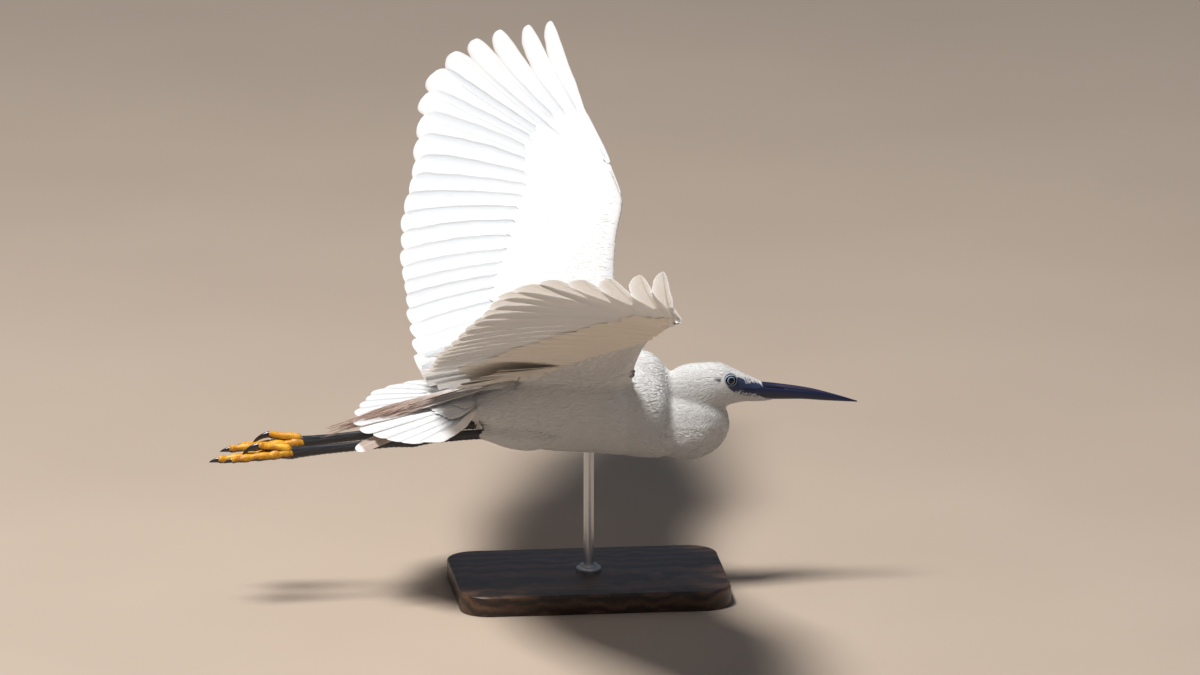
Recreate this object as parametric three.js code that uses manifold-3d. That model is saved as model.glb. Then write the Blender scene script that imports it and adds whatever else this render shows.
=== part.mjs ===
// Little egret in level flight on a plain display stand, life size.
// Millimetres, +Z up, the bill towards +X, the bird's left side towards +Y.
// The origin is the middle of the base's underside.
import * as THREE from "three";
import { mergeVertices } from "three/addons/utils/BufferGeometryUtils.js";
import Module from "manifold-3d";

const wasm = await Module();
wasm.setup();

// Driving sizes
const GAP = 0.3;
const CLEAN = 0.01;
const BASE = { length: 240, width: 160, height: 18, corner: 26, bevel: 2.5 };
const ROD = { radius: 4.5, visible: 108, sunk: 14 };
const COLLAR = { radius: 11, height: 7 };
const BELLY_OVER_ROD = -47.6;
const BIRD_OFFSET = { x: 10, z: BASE.height + ROD.visible - BELLY_OVER_ROD };
const EYE = { x: 114.3, y: 10.7, z: 17.4, radius: 5.7, lid: 6.0, lidWire: 0.9 };
const LEG = { y: 17.5, tibiaRadius: 3.7, tarsusRadius: 3.7, hockRadius: 4.9 };
const HOCK = { x: -167.5, z: -27 };
const TIBIA_TOP = { x: -104, z: -23.4 };
const FOOT_JOINT = { x: -266, z: -35.5 };

const WHITE = new THREE.MeshStandardMaterial({ color: 0xf4f2ee, roughness: 0.75, metalness: 0 });
const BILL_BLACK = new THREE.MeshStandardMaterial({ color: 0x15151f, roughness: 0.35, metalness: 0 });
const LEG_BLACK = new THREE.MeshStandardMaterial({ color: 0x121219, roughness: 0.4, metalness: 0 });
const FOOT_YELLOW = new THREE.MeshStandardMaterial({ color: 0xe0a21c, roughness: 0.55, metalness: 0 });
const EYE_DARK = new THREE.MeshStandardMaterial({ color: 0x1a1c22, roughness: 0.08, metalness: 0 });
const WALNUT = new THREE.MeshStandardMaterial({ color: 0x3b2a1f, roughness: 0.5, metalness: 0 });
const STEEL = new THREE.MeshStandardMaterial({ color: 0xb9bcc0, roughness: 0.3, metalness: 1 });

const clamp = (v, low, high) => Math.min(high, Math.max(low, v));
const mix = (a, b, t) => a + (b - a) * t;
const point = (x, y, z) => new THREE.Vector3(x, y, z);

// A smooth curve through knots [t, value] that never swings past them; flat beyond its ends.
function through(...knots) {
  const slopes = knots.slice(1).map(([t, v], i) => (v - knots[i][1]) / (t - knots[i][0]));
  const tangents = knots.map((_, i) => {
    const before = slopes[Math.max(0, i - 1)];
    const after = slopes[Math.min(slopes.length - 1, i)];
    return before * after <= 0 ? 0 : (2 * before * after) / (before + after);
  });
  return (t) => {
    let i = 0;
    while (i < knots.length - 2 && t > knots[i + 1][0]) i += 1;
    const h = knots[i + 1][0] - knots[i][0];
    const s = clamp((t - knots[i][0]) / h, 0, 1);
    const rest = 1 - s;
    return (
      knots[i][1] * (1 + 2 * s) * rest * rest +
      tangents[i] * h * s * rest * rest +
      knots[i + 1][1] * s * s * (3 - 2 * s) -
      tangents[i + 1] * h * s * s * rest
    );
  };
}

// A three.js geometry as a solid, turned the right way out.
function solidOf(geometry) {
  const bare = geometry.clone();
  bare.deleteAttribute("normal");
  bare.deleteAttribute("uv");
  const merged = mergeVertices(bare, 1e-4);
  const triVerts = new Uint32Array(merged.index.array);
  const p = merged.attributes.position;
  const [a, b, c] = [point(), point(), point()];
  let volume = 0;
  for (let i = 0; i < triVerts.length; i += 3) {
    a.fromBufferAttribute(p, triVerts[i]);
    b.fromBufferAttribute(p, triVerts[i + 1]);
    c.fromBufferAttribute(p, triVerts[i + 2]);
    volume += a.dot(b.cross(c));
  }
  if (volume < 0) {
    for (let i = 0; i < triVerts.length; i += 3) {
      [triVerts[i + 1], triVerts[i + 2]] = [triVerts[i + 2], triVerts[i + 1]];
    }
  }
  const mesh = new wasm.Mesh({ numProp: 3, vertProperties: p.array, triVerts });
  return new wasm.Manifold(mesh);
}

// The largest closed surface of a solid, as a named three.js mesh.
function meshOf(name, solid, material) {
  const largest = solid.decompose().reduce((a, b) => (a.volume() > b.volume() ? a : b));
  const made = largest.simplify(CLEAN).getMesh();
  const geometry = new THREE.BufferGeometry();
  geometry.setAttribute("position", new THREE.BufferAttribute(made.vertProperties, 3));
  geometry.setIndex(new THREE.BufferAttribute(made.triVerts, 1));
  geometry.computeVertexNormals();
  const mesh = new THREE.Mesh(geometry, material);
  mesh.name = name;
  return mesh;
}

// A repeatable draw between 0 and 1, for the small differences between feathers.
let seed = 20731;
function random() {
  seed = (seed * 1103515245 + 12345) % 2147483648;
  return seed / 2147483648;
}

const joined = (solids) => solids.reduce((a, b) => a.add(b));
const cutBy = (solid, ...others) => others.reduce((a, b) => a.subtract(b), solid);

// A closed body through rings of equally many points.
function loft(rings) {
  const n = rings[0].length;
  const index = [];
  for (let k = 0; k + 1 < rings.length; k += 1) {
    for (let i = 0; i < n; i += 1) {
      const a = k * n + i;
      const b = k * n + ((i + 1) % n);
      index.push(a, b, b + n, a, b + n, a + n);
    }
  }
  const last = (rings.length - 1) * n;
  for (let i = 1; i + 1 < n; i += 1) index.push(0, i + 1, i, last, last + i, last + i + 1);
  const geometry = new THREE.BufferGeometry();
  const flat = rings.flat().flatMap((p) => [p.x, p.y, p.z]);
  geometry.setAttribute("position", new THREE.Float32BufferAttribute(flat, 3));
  geometry.setIndex(index);
  return solidOf(geometry);
}

// A thin plate over rows of mid-surface points, split into triangles alike on both faces,
// with one thickness for each row.
function plate(rows, thickness) {
  const [n, m] = [rows.length, rows[0].length];
  const flat = [];
  for (const face of [0.5, -0.5]) {
    rows.forEach((row, k) => row.forEach((p) => flat.push(p.x, p.y, p.z + face * thickness[k])));
  }
  const at = (k, j, under) => k * m + j + (under ? n * m : 0);
  const index = [];
  const wall = (k, j, k2, j2) =>
    index.push(at(k, j), at(k, j, true), at(k2, j2, true), at(k, j), at(k2, j2, true), at(k2, j2));
  for (let k = 0; k + 1 < n; k += 1) {
    for (let j = 0; j + 1 < m; j += 1) {
      const [a, b, c, d] = [at(k, j), at(k, j + 1), at(k + 1, j), at(k + 1, j + 1)];
      index.push(a, b, d, a, d, c);
      const under = n * m;
      index.push(a + under, d + under, b + under, a + under, c + under, d + under);
    }
    wall(k + 1, 0, k, 0);
    wall(k, m - 1, k + 1, m - 1);
  }
  for (let j = 0; j + 1 < m; j += 1) {
    wall(0, j, 0, j + 1);
    wall(n - 1, j + 1, n - 1, j);
  }
  const geometry = new THREE.BufferGeometry();
  geometry.setAttribute("position", new THREE.Float32BufferAttribute(flat, 3));
  geometry.setIndex(index);
  return solidOf(geometry);
}

// An upright ring in the plane x: top, bottom and half-width, widest at height middle.
function uprightRing(x, top, bottom, width, middle, sides, squareness = 2) {
  const bulge = (v) => Math.sign(v) * Math.abs(v) ** (2 / squareness);
  return Array.from({ length: sides }, (_, i) => {
    const angle = (2 * Math.PI * (i + 0.5)) / sides;
    const rise = bulge(Math.sin(angle));
    const z = middle + rise * (rise > 0 ? top - middle : middle - bottom);
    return point(x, width * bulge(Math.cos(angle)), z);
  });
}

// A round-ended bar through stations {x, y, z, r, flat}, with rings square to its own path.
function limb(stations, sides) {
  const centres = stations.map((s) => point(s.x, s.y, s.z));
  const path = new THREE.CatmullRomCurve3(centres, false, "centripetal");
  return loft(
    stations.map((s, k) => {
      const along = path.getTangent(k / (stations.length - 1));
      const across = point(0, 1, 0).addScaledVector(along, -along.y).normalize();
      const over = along.clone().cross(across);
      return Array.from({ length: sides }, (_, i) => {
        const angle = (2 * Math.PI * i) / sides;
        return centres[k]
          .clone()
          .addScaledVector(across, Math.cos(angle) * s.r * (s.wide ?? 1))
          .addScaledVector(over, Math.sin(angle) * s.r);
      });
    }),
  );
}

const ellipsoid = (x, y, z, a, b, c, sides = 20) => {
  const ball = new THREE.SphereGeometry(1, sides, Math.round(sides * 0.6));
  return solidOf(ball.scale(a, b, c).translate(x, y, z));
};

// Torso: a deep spindle from the breast to the rump.
const BACK = through(
  [-128, 5], [-108, 14], [-82, 25], [-50, 34], [-15, 40], [25, 41], [50, 30], [66, 4],
);
const BELLY = through(
  [-128, -8], [-108, -20], [-82, -35], [-50, -44], [0, -48.2], [50, -54.5], [66, -50],
);
const FLANK = through(
  [-128, 9], [-108, 20], [-82, 30], [-50, 38], [0, 43], [30, 40], [50, 31], [66, 12],
);
const TORSO_STATIONS = [-128, -122, -112, -98, -80, -60, -38, -15, 8, 28, 42, 53, 61, 66];
function torso(grow = 0) {
  return loft(
    TORSO_STATIONS.map((x) => {
      const [top, bottom] = [BACK(x) + grow, BELLY(x) - grow];
      return uprightRing(x, top, bottom, FLANK(x) + grow, mix(bottom, top, 0.55), 24, 2.1);
    }),
  );
}

// Folded neck: the hump of the rear bend, then the loop that hangs in front of the breast.
const HUMP = { x: 33, z: 4, long: 32.5, wide: 25, high: 42.5 };
const LOOP = { x: 77, z: -23.5, long: 38.5, wide: 22, high: 33.5 };
const hump = (grow = 0) =>
  ellipsoid(HUMP.x, 0, HUMP.z, HUMP.long + grow, HUMP.wide + grow, HUMP.high + grow, 22);
const loop = (grow = 0) =>
  ellipsoid(LOOP.x, 0, LOOP.z, LOOP.long + grow, LOOP.wide + grow, LOOP.high + grow, 18);

// Head: long and low, tapering into the bill.
const CROWN = through(
  [60, 20], [68, 28.5], [80, 31.6], [98, 32.2], [108, 31.2], [117, 27], [130, 20.2], [146, 12.6],
);
const JAW = through([60, -12], [72, -19], [88, -21], [105, -10.5], [118, -7], [133, -5.2], [146, -4]);
const CHEEK = through([60, 8], [68, 13.5], [84, 16.2], [104, 16], [117, 13.4], [130, 9.6], [146, 6.6]);
const HEAD_STATIONS = [60, 64, 70, 78, 88, 98, 106, 112, 118, 124, 131, 138, 146];
function skull(grow = 0) {
  return loft(
    HEAD_STATIONS.map((x) => {
      const [top, bottom] = [CROWN(x) + grow, JAW(x) - grow];
      return uprightRing(x, top, bottom, CHEEK(x) + grow, mix(bottom, top, 0.52), 20, 2.1);
    }),
  );
}

// Bill: a straight dagger in two halves, parted along the mouth.
const BILL = { base: 138, tip: 228, mouthBase: 4.6, mouthTip: -7.6 };
const CULMEN = through([138, 13.4], [154, 11.3], [184, 6.2], [212, -1.8], [228, -7.2]);
const GONYS = through([138, -3.4], [157, -4.2], [172, -5], [198, -6.6], [228, -8.2]);
const BILL_WIDTH = through([138, 7.2], [154, 6], [184, 3.9], [212, 2], [228, 0.5]);
const mouth = (x) => mix(BILL.mouthBase, BILL.mouthTip, (x - BILL.base) / (BILL.tip - BILL.base));
const BILL_STATIONS = [138, 146, 156, 170, 186, 202, 216, 224, 228];
function billHalf(upper) {
  return loft(
    BILL_STATIONS.map((x) => {
      const edge = mouth(x) + (upper ? GAP / 2 : -GAP / 2);
      const far = upper ? CULMEN(x) : GONYS(x);
      const reach = upper ? Math.max(0.4, far - edge) : Math.min(-0.4, far - edge);
      const profile = [[-1, 0], [-0.92, 0.36], [-0.62, 0.78], [0, 1], [0.62, 0.78], [0.92, 0.36], [1, 0]];
      return profile.map(([across, up]) => point(x, across * BILL_WIDTH(x), edge + up * reach));
    }),
  );
}
function nostril(side) {
  const slit = new THREE.BoxGeometry(15, 1.6, 1.1);
  slit.rotateY(0.12);
  slit.translate(158, side * 4.9, 7.4);
  return solidOf(slit);
}

// Eyes in their sockets, with a raised ring of lid.
const eyeball = (side, grow = 0) => ellipsoid(
  EYE.x, side * EYE.y, EYE.z, EYE.radius + grow, EYE.radius + grow, EYE.radius + grow, 14,
);
function lid(side) {
  const ring = new THREE.TorusGeometry(EYE.lid, EYE.lidWire, 5, 14);
  ring.rotateX(Math.PI / 2);
  ring.rotateZ(side * 0.16);
  ring.translate(EYE.x, side * (EYE.y + 2.6), EYE.z);
  return solidOf(ring);
}
function mouthLine(side) {
  const groove = new THREE.BoxGeometry(24, 1.6, 0.9);
  groove.rotateY(-0.05);
  groove.rotateZ(side * -0.3);
  groove.translate(136, side * 9.6, mouth(136) + 0.4);
  return solidOf(groove);
}
function head() {
  const face = joined([skull(), lid(1), lid(-1)]);
  return cutBy(
    face, eyeball(1, GAP), eyeball(-1, GAP), mouthLine(1), mouthLine(-1), hump(GAP), torso(GAP),
  );
}

// A feather vane as rows of points from root to tip. The fan gives a place on the sheet of
// feathers for a feather number and a share of its length. Each vane leans a little, so that
// it lies over its neighbour on one side and under the other by one step.
const VANE = { thickness: 0.66, tipThickness: 0.4, step: 1.35, most: 0.82 };
const OUTLINE = {
  long: [[0, 0.3], [0.14, 0.72], [0.4, 1], [0.72, 0.96], [0.92, 0.66], [1, 0.22]],
  finger: [[0, 0.3], [0.14, 0.7], [0.38, 1], [0.66, 0.94], [0.9, 0.68], [1, 0.2]],
  covert: [[0, 0.55], [0.5, 1], [0.86, 0.74], [1, 0.26]],
};
function vane(fan, { u, from = 0, to = 1, wide, every = 1, lift, step = VANE.step, outline, side }) {
  const rows = outline.map(([t, share]) => {
    const s = mix(from, to, t);
    const here = fan(u, s);
    const along = fan(u, s + 0.02).sub(fan(u, s - 0.02)).normalize();
    const apart = fan(u - 0.5, s).sub(fan(u + 0.5, s));
    apart.addScaledVector(along, -apart.dot(along));
    const spacing = apart.length();
    const half = Math.min((wide / 2) * share, spacing * every * VANE.most);
    const across = apart.divideScalar(spacing);
    return [half, -half].map((offset) => {
      const raise = lift + (step * offset) / (spacing * every);
      const at = here.clone().addScaledVector(across, offset);
      return point(at.x, side * at.y, at.z + raise);
    });
  });
  const thick = outline.map(([t]) => (t > 0.8 ? VANE.tipThickness : VANE.thickness));
  return plate(rows, thick);
}

// Wing: leading edge, line of feather roots and line of feather tips, all for the left side.
// Feather 0 is the outermost primary, 9 the innermost, 10 the first secondary, 21 the last tertial.
const EDGE_X = through(
  [14, 25], [45, 28], [105, 27.5], [160, 33.5], [205, 44], [214, 45], [240, 43], [294, 39],
);
const EDGE_Z = through([14, -4], [30, 19], [60, 48], [105, 72], [160, 101], [214, 125], [294, 145]);
const ROOT_Y = through([0, 277], [9, 216], [10, 208], [18, 108], [21, 50]);
const ROOT_X = through([14, -66], [46, -52], [108, -30], [160, 2], [208, 33], [216, 36], [277, 34]);
const ROOT_Z = through([14, 22], [46, 44], [108, 71], [160, 95], [208, 120], [277, 140.5], [292, 144]);
const TIP_X = through(
  [0, 5], [1, -15], [2, -41], [3, -64], [4, -85], [6, -117], [9, -137], [11, -149], [14, -159],
  [21, -160],
);
const TIP_Y = through(
  [0, 447], [1, 447.5], [2, 443], [3, 431], [4, 406], [5, 380], [7, 323], [9, 269], [12, 209],
  [15, 141], [18, 88], [21, 20],
);
const TIP_Z = through(
  [0, 232], [3, 223], [4, 217], [6, 193], [9, 147], [12, 111], [15, 80], [18, 56], [20, 41], [21, 32],
);
const CURL = through([0, 0.25], [4, 0.18], [8, 0.03], [10, 0]);
const CURL_POWER = 3;
const BOW = through([0, 2], [8, 5], [12, 7], [21, 4]);
function fan(u, s) {
  const y = ROOT_Y(u);
  const bent = mix(s, Math.sign(s) * Math.abs(s) ** CURL_POWER, CURL(u));
  return point(
    mix(ROOT_X(y), TIP_X(u), s),
    mix(y, TIP_Y(u), s),
    mix(ROOT_Z(y), TIP_Z(u), bent) + BOW(u) * 4 * Math.max(0, s * (1 - s)),
  );
}

// The fleshy leading part of the wing, thick in front, thin behind the line of roots.
const CORE_THICK = through([14, 26], [60, 16], [105, 12], [160, 10], [214, 9], [260, 6], [292, 2.6]);
const CORE_BEHIND = through([14, 16], [108, 13], [214, 9], [292, 4]);
const CORE_STATIONS = [14, 30, 46, 62, 82, 108, 134, 160, 184, 202, 214, 228, 246, 264, 280, 293];
const CORE_PROFILE = [
  [0, 0], [0.05, 0.6], [0.22, 1], [0.6, 0.8], [1, 0.18], [1, -0.18], [0.6, -0.55], [0.25, -0.8], [0.05, -0.5],
];
function wingCore(side) {
  return loft(
    CORE_STATIONS.map((y) =>
      CORE_PROFILE.map(([back, up]) => {
        const x = mix(EDGE_X(y), ROOT_X(y) - CORE_BEHIND(y), back);
        const z = mix(EDGE_Z(y), ROOT_Z(y), back) + (up * CORE_THICK(y)) / 2;
        return point(x, side * y, z);
      }),
    ),
  );
}

const FLIGHT_WIDTH = through([0, 22], [1, 26], [3, 33], [8, 34], [14, 33], [21, 34]);
const COVERT_FROM = through([0, 0.04], [9, 0], [12, -0.08], [18, -0.16]);
const WING_TIERS = [
  { name: "flight", every: 1, from: () => -0.02, to: 1, lift: 0, wide: 1, vary: 0.012 },
  { name: "greater", every: 1, from: () => -0.03, to: 0.47, lift: 2.7, wide: 0.9, vary: 0.02 },
  { name: "median", every: 2, from: COVERT_FROM, to: 0.25, lift: 6, wide: 1.8, vary: 0.02 },
  { name: "under", every: 2, from: () => -0.02, to: 0.42, lift: -3.3, wide: 1.8, vary: 0.02 },
];
const HAND = { first: 0, last: 9 };
const ARM = { first: 10, last: 21 };
function wingVanes(side, { first, last }) {
  const vanes = [];
  for (const tier of WING_TIERS) {
    for (let u = first + (tier.every - 1) / 2; u <= last; u += tier.every) {
      const flight = u <= 4 ? OUTLINE.finger : OUTLINE.long;
      vanes.push(
        vane(fan, {
          u,
          side,
          from: tier.from(u),
          to: tier.to + tier.vary * (random() - 0.5),
          wide: FLIGHT_WIDTH(u) * tier.wide * mix(0.95, 1.05, random()),
          lift: tier.lift,
          every: tier.every,
          outline: tier.name === "flight" ? flight : OUTLINE.covert,
        }),
      );
    }
  }
  return vanes;
}

// A block that holds all of the wing beyond the line from the wrist to the trailing edge.
const WRIST_LINE = { front: point(45, 210.5, 0), back: point(-142, 258, 0), block: 700 };
function beyondWrist(side, gap) {
  const { front, back, block } = WRIST_LINE;
  const turn = Math.atan2(front.y - back.y, front.x - back.x);
  const slab = new THREE.BoxGeometry(block, block, block);
  slab.translate(0, block / 2 + gap, 0).rotateZ(turn).translate(front.x, front.y, 0);
  return solidOf(slab.scale(1, side, 1));
}
function wingArm(side) {
  const whole = joined([wingCore(side), ...wingVanes(side, ARM)]);
  const body = [torso(GAP), hump(GAP), skull(GAP), loop(GAP), plumes(GAP)];
  return cutBy(whole, beyondWrist(side, -GAP / 2), ...body);
}
function wingHand(side) {
  const whole = joined([wingCore(side), ...wingVanes(side, HAND)]);
  return whole.intersect(beyondWrist(side, GAP / 2));
}

// Tail: twelve feathers in a fan, the middle pair on top, pitched a little down to the rear.
const TAIL = {
  x: -104, z: 7.5, length: 115, outerLength: 106, spread: 1.0,
  slope: 0.17, drop: 1.3, wide: 26, roll: 0.13, half: 100,
};
const tailRoll = (y) => TAIL.roll * y * (1 - 0.8 * (y / TAIL.half) ** 2);
const tailZ = (x, y = 0) => TAIL.z + TAIL.slope * (x - TAIL.x) + tailRoll(y);
function tailFan(angle) {
  return (u, s) => {
    const turn = angle + u * 0.15;
    const reach = 8 + s * (mix(TAIL.length, TAIL.outerLength, Math.abs(angle) / TAIL.spread) - 8);
    const x = TAIL.x - reach * Math.cos(turn);
    const y = reach * Math.sin(turn);
    return point(x, y, tailZ(x, y) + 3 * s * (1 - s));
  };
}
function tail() {
  const vanes = [];
  for (let pair = 0; pair < 6; pair += 1) {
    for (const side of [1, -1]) {
      const angle = side * TAIL.spread * ((pair + 0.5) / 5.5);
      vanes.push(
        vane(tailFan(angle), {
          u: 0, side: 1, wide: TAIL.wide, to: mix(0.985, 1.015, random()), step: 0,
          lift: TAIL.drop * (2 - pair - (side > 0 ? 0 : 0.5)), outline: OUTLINE.long,
        }),
      );
    }
  }
  const root = ellipsoid(TAIL.x - 8, 0, TAIL.z - 2, 26, 17, 8, 14);
  return cutBy(joined([root, ...vanes]), torso(GAP));
}

// Back plumes: long, loose, tapering locks from the middle of the back over rump and tail.
const PLUMES = { x: -58, end: -236, locks: 11, spread: 0.075, wide: 8.5, rise: 4.6, step: 1.1 };
function plumeZ(x) {
  const overTail = through([-236, 2], [-222, 8], [-200, 10], [-130, 15]);
  const onBack = BACK(Math.max(x, -128)) + PLUMES.rise;
  return mix(onBack, tailZ(x) + overTail(x), clamp((-80 - x) / 50, 0, 1));
}
const LOCK_LENGTHS = Array.from({ length: PLUMES.locks }, () => mix(0.94, 1, random()));
function plumes(grow = 0) {
  const locks = LOCK_LENGTHS.map((varied, i) => {
    const place = i - (PLUMES.locks - 1) / 2;
    const share = Math.abs(place) / ((PLUMES.locks - 1) / 2);
    const length = (PLUMES.x - PLUMES.end) * mix(1, 0.62, share) * varied;
    const rows = [0, 0.12, 0.35, 0.6, 0.82, 1].map((t) => {
      const x = PLUMES.x - length * t;
      const middle = place * mix(3.4, 2.2, t) + place * PLUMES.spread * length * t * 0.35;
      const half = (PLUMES.wide / 2) * mix(0.8, 1, Math.min(1, t * 3)) * (1 - 0.86 * t * t) + grow;
      const z = plumeZ(x) - Math.abs(place) * PLUMES.step - (place > 0 ? PLUMES.step / 2 : 0);
      return [-1, 1].map((across) => point(x, middle + across * half, z));
    });
    return plate(rows, rows.map(() => VANE.thickness + 2 * grow));
  });
  const root = ellipsoid(PLUMES.x - 4, 0, plumeZ(PLUMES.x) - 2, 16 + grow, 22 + grow, 4 + grow, 14);
  return cutBy(joined([root, ...locks]), torso(grow ? 0 : GAP));
}

// Legs: feathered thigh, bare shank, shank below the hock, and the trailing foot.
const thigh = (side, grow = 0) =>
  limb(
    [
      { x: -48, y: side * 22, z: -24, r: 13 + grow },
      { x: -66, y: side * 21, z: -26, r: 14 + grow },
      { x: -84, y: side * 19.5, z: -26, r: 11.5 + grow },
      { x: -98, y: side * 18, z: -24.5, r: 8 + grow },
      { x: -111, y: side * LEG.y, z: -23.6, r: 4.4 + grow },
    ],
    14,
  );
const tibia = (side) =>
  limb(
    [
      { x: TIBIA_TOP.x, y: side * LEG.y, z: TIBIA_TOP.z, r: LEG.tibiaRadius },
      { x: -125, y: side * LEG.y, z: -24.3, r: LEG.tibiaRadius },
      { x: -148, y: side * LEG.y, z: -25.6, r: LEG.tibiaRadius },
      { x: -160, y: side * LEG.y, z: -26.5, r: LEG.hockRadius * 0.9 },
      { x: HOCK.x + GAP / 2, y: side * LEG.y, z: HOCK.z, r: LEG.hockRadius },
    ],
    12,
  );
const tarsus = (side) =>
  limb(
    [
      { x: HOCK.x - GAP / 2, y: side * LEG.y, z: HOCK.z, r: LEG.hockRadius },
      { x: -176, y: side * LEG.y, z: -27.8, r: LEG.hockRadius * 0.88 },
      { x: -190, y: side * LEG.y, z: -29, r: LEG.tarsusRadius },
      { x: -235, y: side * LEG.y, z: -32.8, r: LEG.tarsusRadius },
      { x: -256, y: side * LEG.y, z: -34.6, r: LEG.tarsusRadius * 1.15 },
      { x: FOOT_JOINT.x, y: side * LEG.y, z: FOOT_JOINT.z, r: LEG.tarsusRadius * 1.3 },
    ],
    12,
  );

// Toes: length, spread to the side, drop, and whether it lies above (the hind toe).
const TOES = [
  { name: "hind", length: 33, spread: 0.04, up: 8.2, bend: 0.02, claw: 16, curl: 1.1, radius: 3.2 },
  { name: "inner", length: 48, spread: -0.13, up: -0.8, bend: 0.05, claw: 10, curl: 0.5, radius: 3 },
  { name: "middle", length: 72, spread: 0.0, up: -1.4, bend: 0.05, claw: 11, curl: 0.35, radius: 3.4 },
  { name: "outer", length: 58, spread: 0.13, up: -0.8, bend: 0.05, claw: 10, curl: 0.5, radius: 3.1 },
];
function toePath(toe, side, share) {
  const reach = toe.length * share;
  return {
    x: FOOT_JOINT.x - 2 - reach,
    y: side * (LEG.y + toe.spread * reach + toe.spread * 12),
    z: FOOT_JOINT.z + toe.up * (0.4 + 0.6 * share) - toe.bend * reach,
  };
}
function toeBar(toe, side) {
  const shares = [-0.05, 0.14, 0.3, 0.46, 0.62, 0.78, 0.92, 1];
  return limb(
    shares.map((share, k) => {
      const pad = k % 2 === 0 ? 1.12 : 0.9;
      const r = toe.radius * pad * mix(1.08, 0.72, share);
      return { ...toePath(toe, side, share), r: k === shares.length - 1 ? r * 0.75 : r };
    }),
    6,
  );
}
function foot(side) {
  const palm = ellipsoid(FOOT_JOINT.x - 5, side * LEG.y, FOOT_JOINT.z, 9, 5.6, 5.4, 10);
  const whole = joined([palm, ...TOES.map((toe) => toeBar(toe, side))]);
  return cutBy(whole, tarsusPlug(side), ...TOES.map((toe) => claw(toe, side, GAP)));
}
function tarsusPlug(side) {
  const block = new THREE.BoxGeometry(24, 20, 20);
  block.translate(FOOT_JOINT.x + 12 - 1.2, side * LEG.y, FOOT_JOINT.z);
  return solidOf(block);
}
function claw(toe, side, grow = 0) {
  const end = toePath(toe, side, 1);
  const shares = [0, 0.3, 0.6, 0.85, 1];
  return limb(
    shares.map((share) => ({
      x: end.x + 3 + grow * 2 * (1 - share) - toe.claw * Math.sin(toe.curl * share) / toe.curl,
      y: end.y,
      z: end.z - (toe.claw * (1 - Math.cos(toe.curl * share))) / toe.curl,
      r: toe.radius * 0.62 * (1 - 0.86 * share) + grow,
    })),
    7,
  );
}

// Stand: a flat walnut base, a small collar and one steel rod up to the belly.
function standBase() {
  const { length, width, height, corner, bevel } = BASE;
  const outline = new THREE.Shape();
  const [a, b] = [length / 2 - bevel, width / 2 - bevel];
  outline.moveTo(-a + corner, -b);
  outline.lineTo(a - corner, -b);
  outline.absarc(a - corner, -b + corner, corner, -Math.PI / 2, 0);
  outline.lineTo(a, b - corner);
  outline.absarc(a - corner, b - corner, corner, 0, Math.PI / 2);
  outline.lineTo(-a + corner, b);
  outline.absarc(-a + corner, b - corner, corner, Math.PI / 2, Math.PI);
  outline.lineTo(-a, -b + corner);
  outline.absarc(-a + corner, -b + corner, corner, Math.PI, 1.5 * Math.PI);
  const slab = new THREE.ExtrudeGeometry(outline, {
    depth: height - 2 * bevel, bevelThickness: bevel, bevelSize: bevel, bevelSegments: 1, curveSegments: 5,
  });
  slab.translate(0, 0, bevel);
  return solidOf(slab);
}
function standRod() {
  const bottom = BASE.height + GAP;
  const top = BIRD_OFFSET.z + BELLY_OVER_ROD + ROD.sunk;
  const bar = new THREE.CylinderGeometry(ROD.radius, ROD.radius, top - bottom, 24);
  bar.rotateX(Math.PI / 2).translate(0, 0, (top + bottom) / 2);
  const belly = torso(GAP).translate([BIRD_OFFSET.x, 0, BIRD_OFFSET.z]);
  const ring = new THREE.CylinderGeometry(COLLAR.radius * 0.72, COLLAR.radius, COLLAR.height, 28);
  ring.rotateX(Math.PI / 2).translate(0, 0, bottom + COLLAR.height / 2);
  return joined([solidOf(bar), solidOf(ring)]).subtract(belly);
}

const model = new THREE.Group();
const bird = new THREE.Group();
bird.position.set(BIRD_OFFSET.x, 0, BIRD_OFFSET.z);
model.add(bird);
model.add(meshOf("stand_base", standBase(), WALNUT));
model.add(meshOf("stand_rod", standRod(), STEEL));

bird.add(meshOf("torso", torso(), WHITE));
bird.add(meshOf("neck_upper", cutBy(hump(), torso(GAP)), WHITE));
bird.add(meshOf("neck_lower", cutBy(loop(), torso(GAP), hump(GAP), skull(GAP)), WHITE));
bird.add(meshOf("head", head(), WHITE));
bird.add(meshOf("bill_upper", cutBy(billHalf(true), skull(GAP), nostril(1), nostril(-1)), BILL_BLACK));
bird.add(meshOf("bill_lower", cutBy(billHalf(false), skull(GAP)), BILL_BLACK));
bird.add(meshOf("tail", tail(), WHITE));
bird.add(meshOf("plumes", plumes(), WHITE));
for (const [word, side] of [["left", 1], ["right", -1]]) {
  bird.add(meshOf(`eye_${word}`, eyeball(side), EYE_DARK));
  bird.add(meshOf(`wing_${word}_arm`, wingArm(side), WHITE));
  bird.add(meshOf(`wing_${word}_hand`, wingHand(side), WHITE));
  bird.add(meshOf(`thigh_${word}`, cutBy(thigh(side), torso(GAP)), WHITE));
  bird.add(meshOf(`tibia_${word}`, cutBy(tibia(side), thigh(side, GAP), torso(GAP)), LEG_BLACK));
  bird.add(meshOf(`tarsus_${word}`, tarsus(side), LEG_BLACK));
  bird.add(meshOf(`foot_${word}`, foot(side), FOOT_YELLOW));
  for (const toe of TOES) bird.add(meshOf(`claw_${word}_${toe.name}`, claw(toe, side), LEG_BLACK));
}

export default model;
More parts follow.
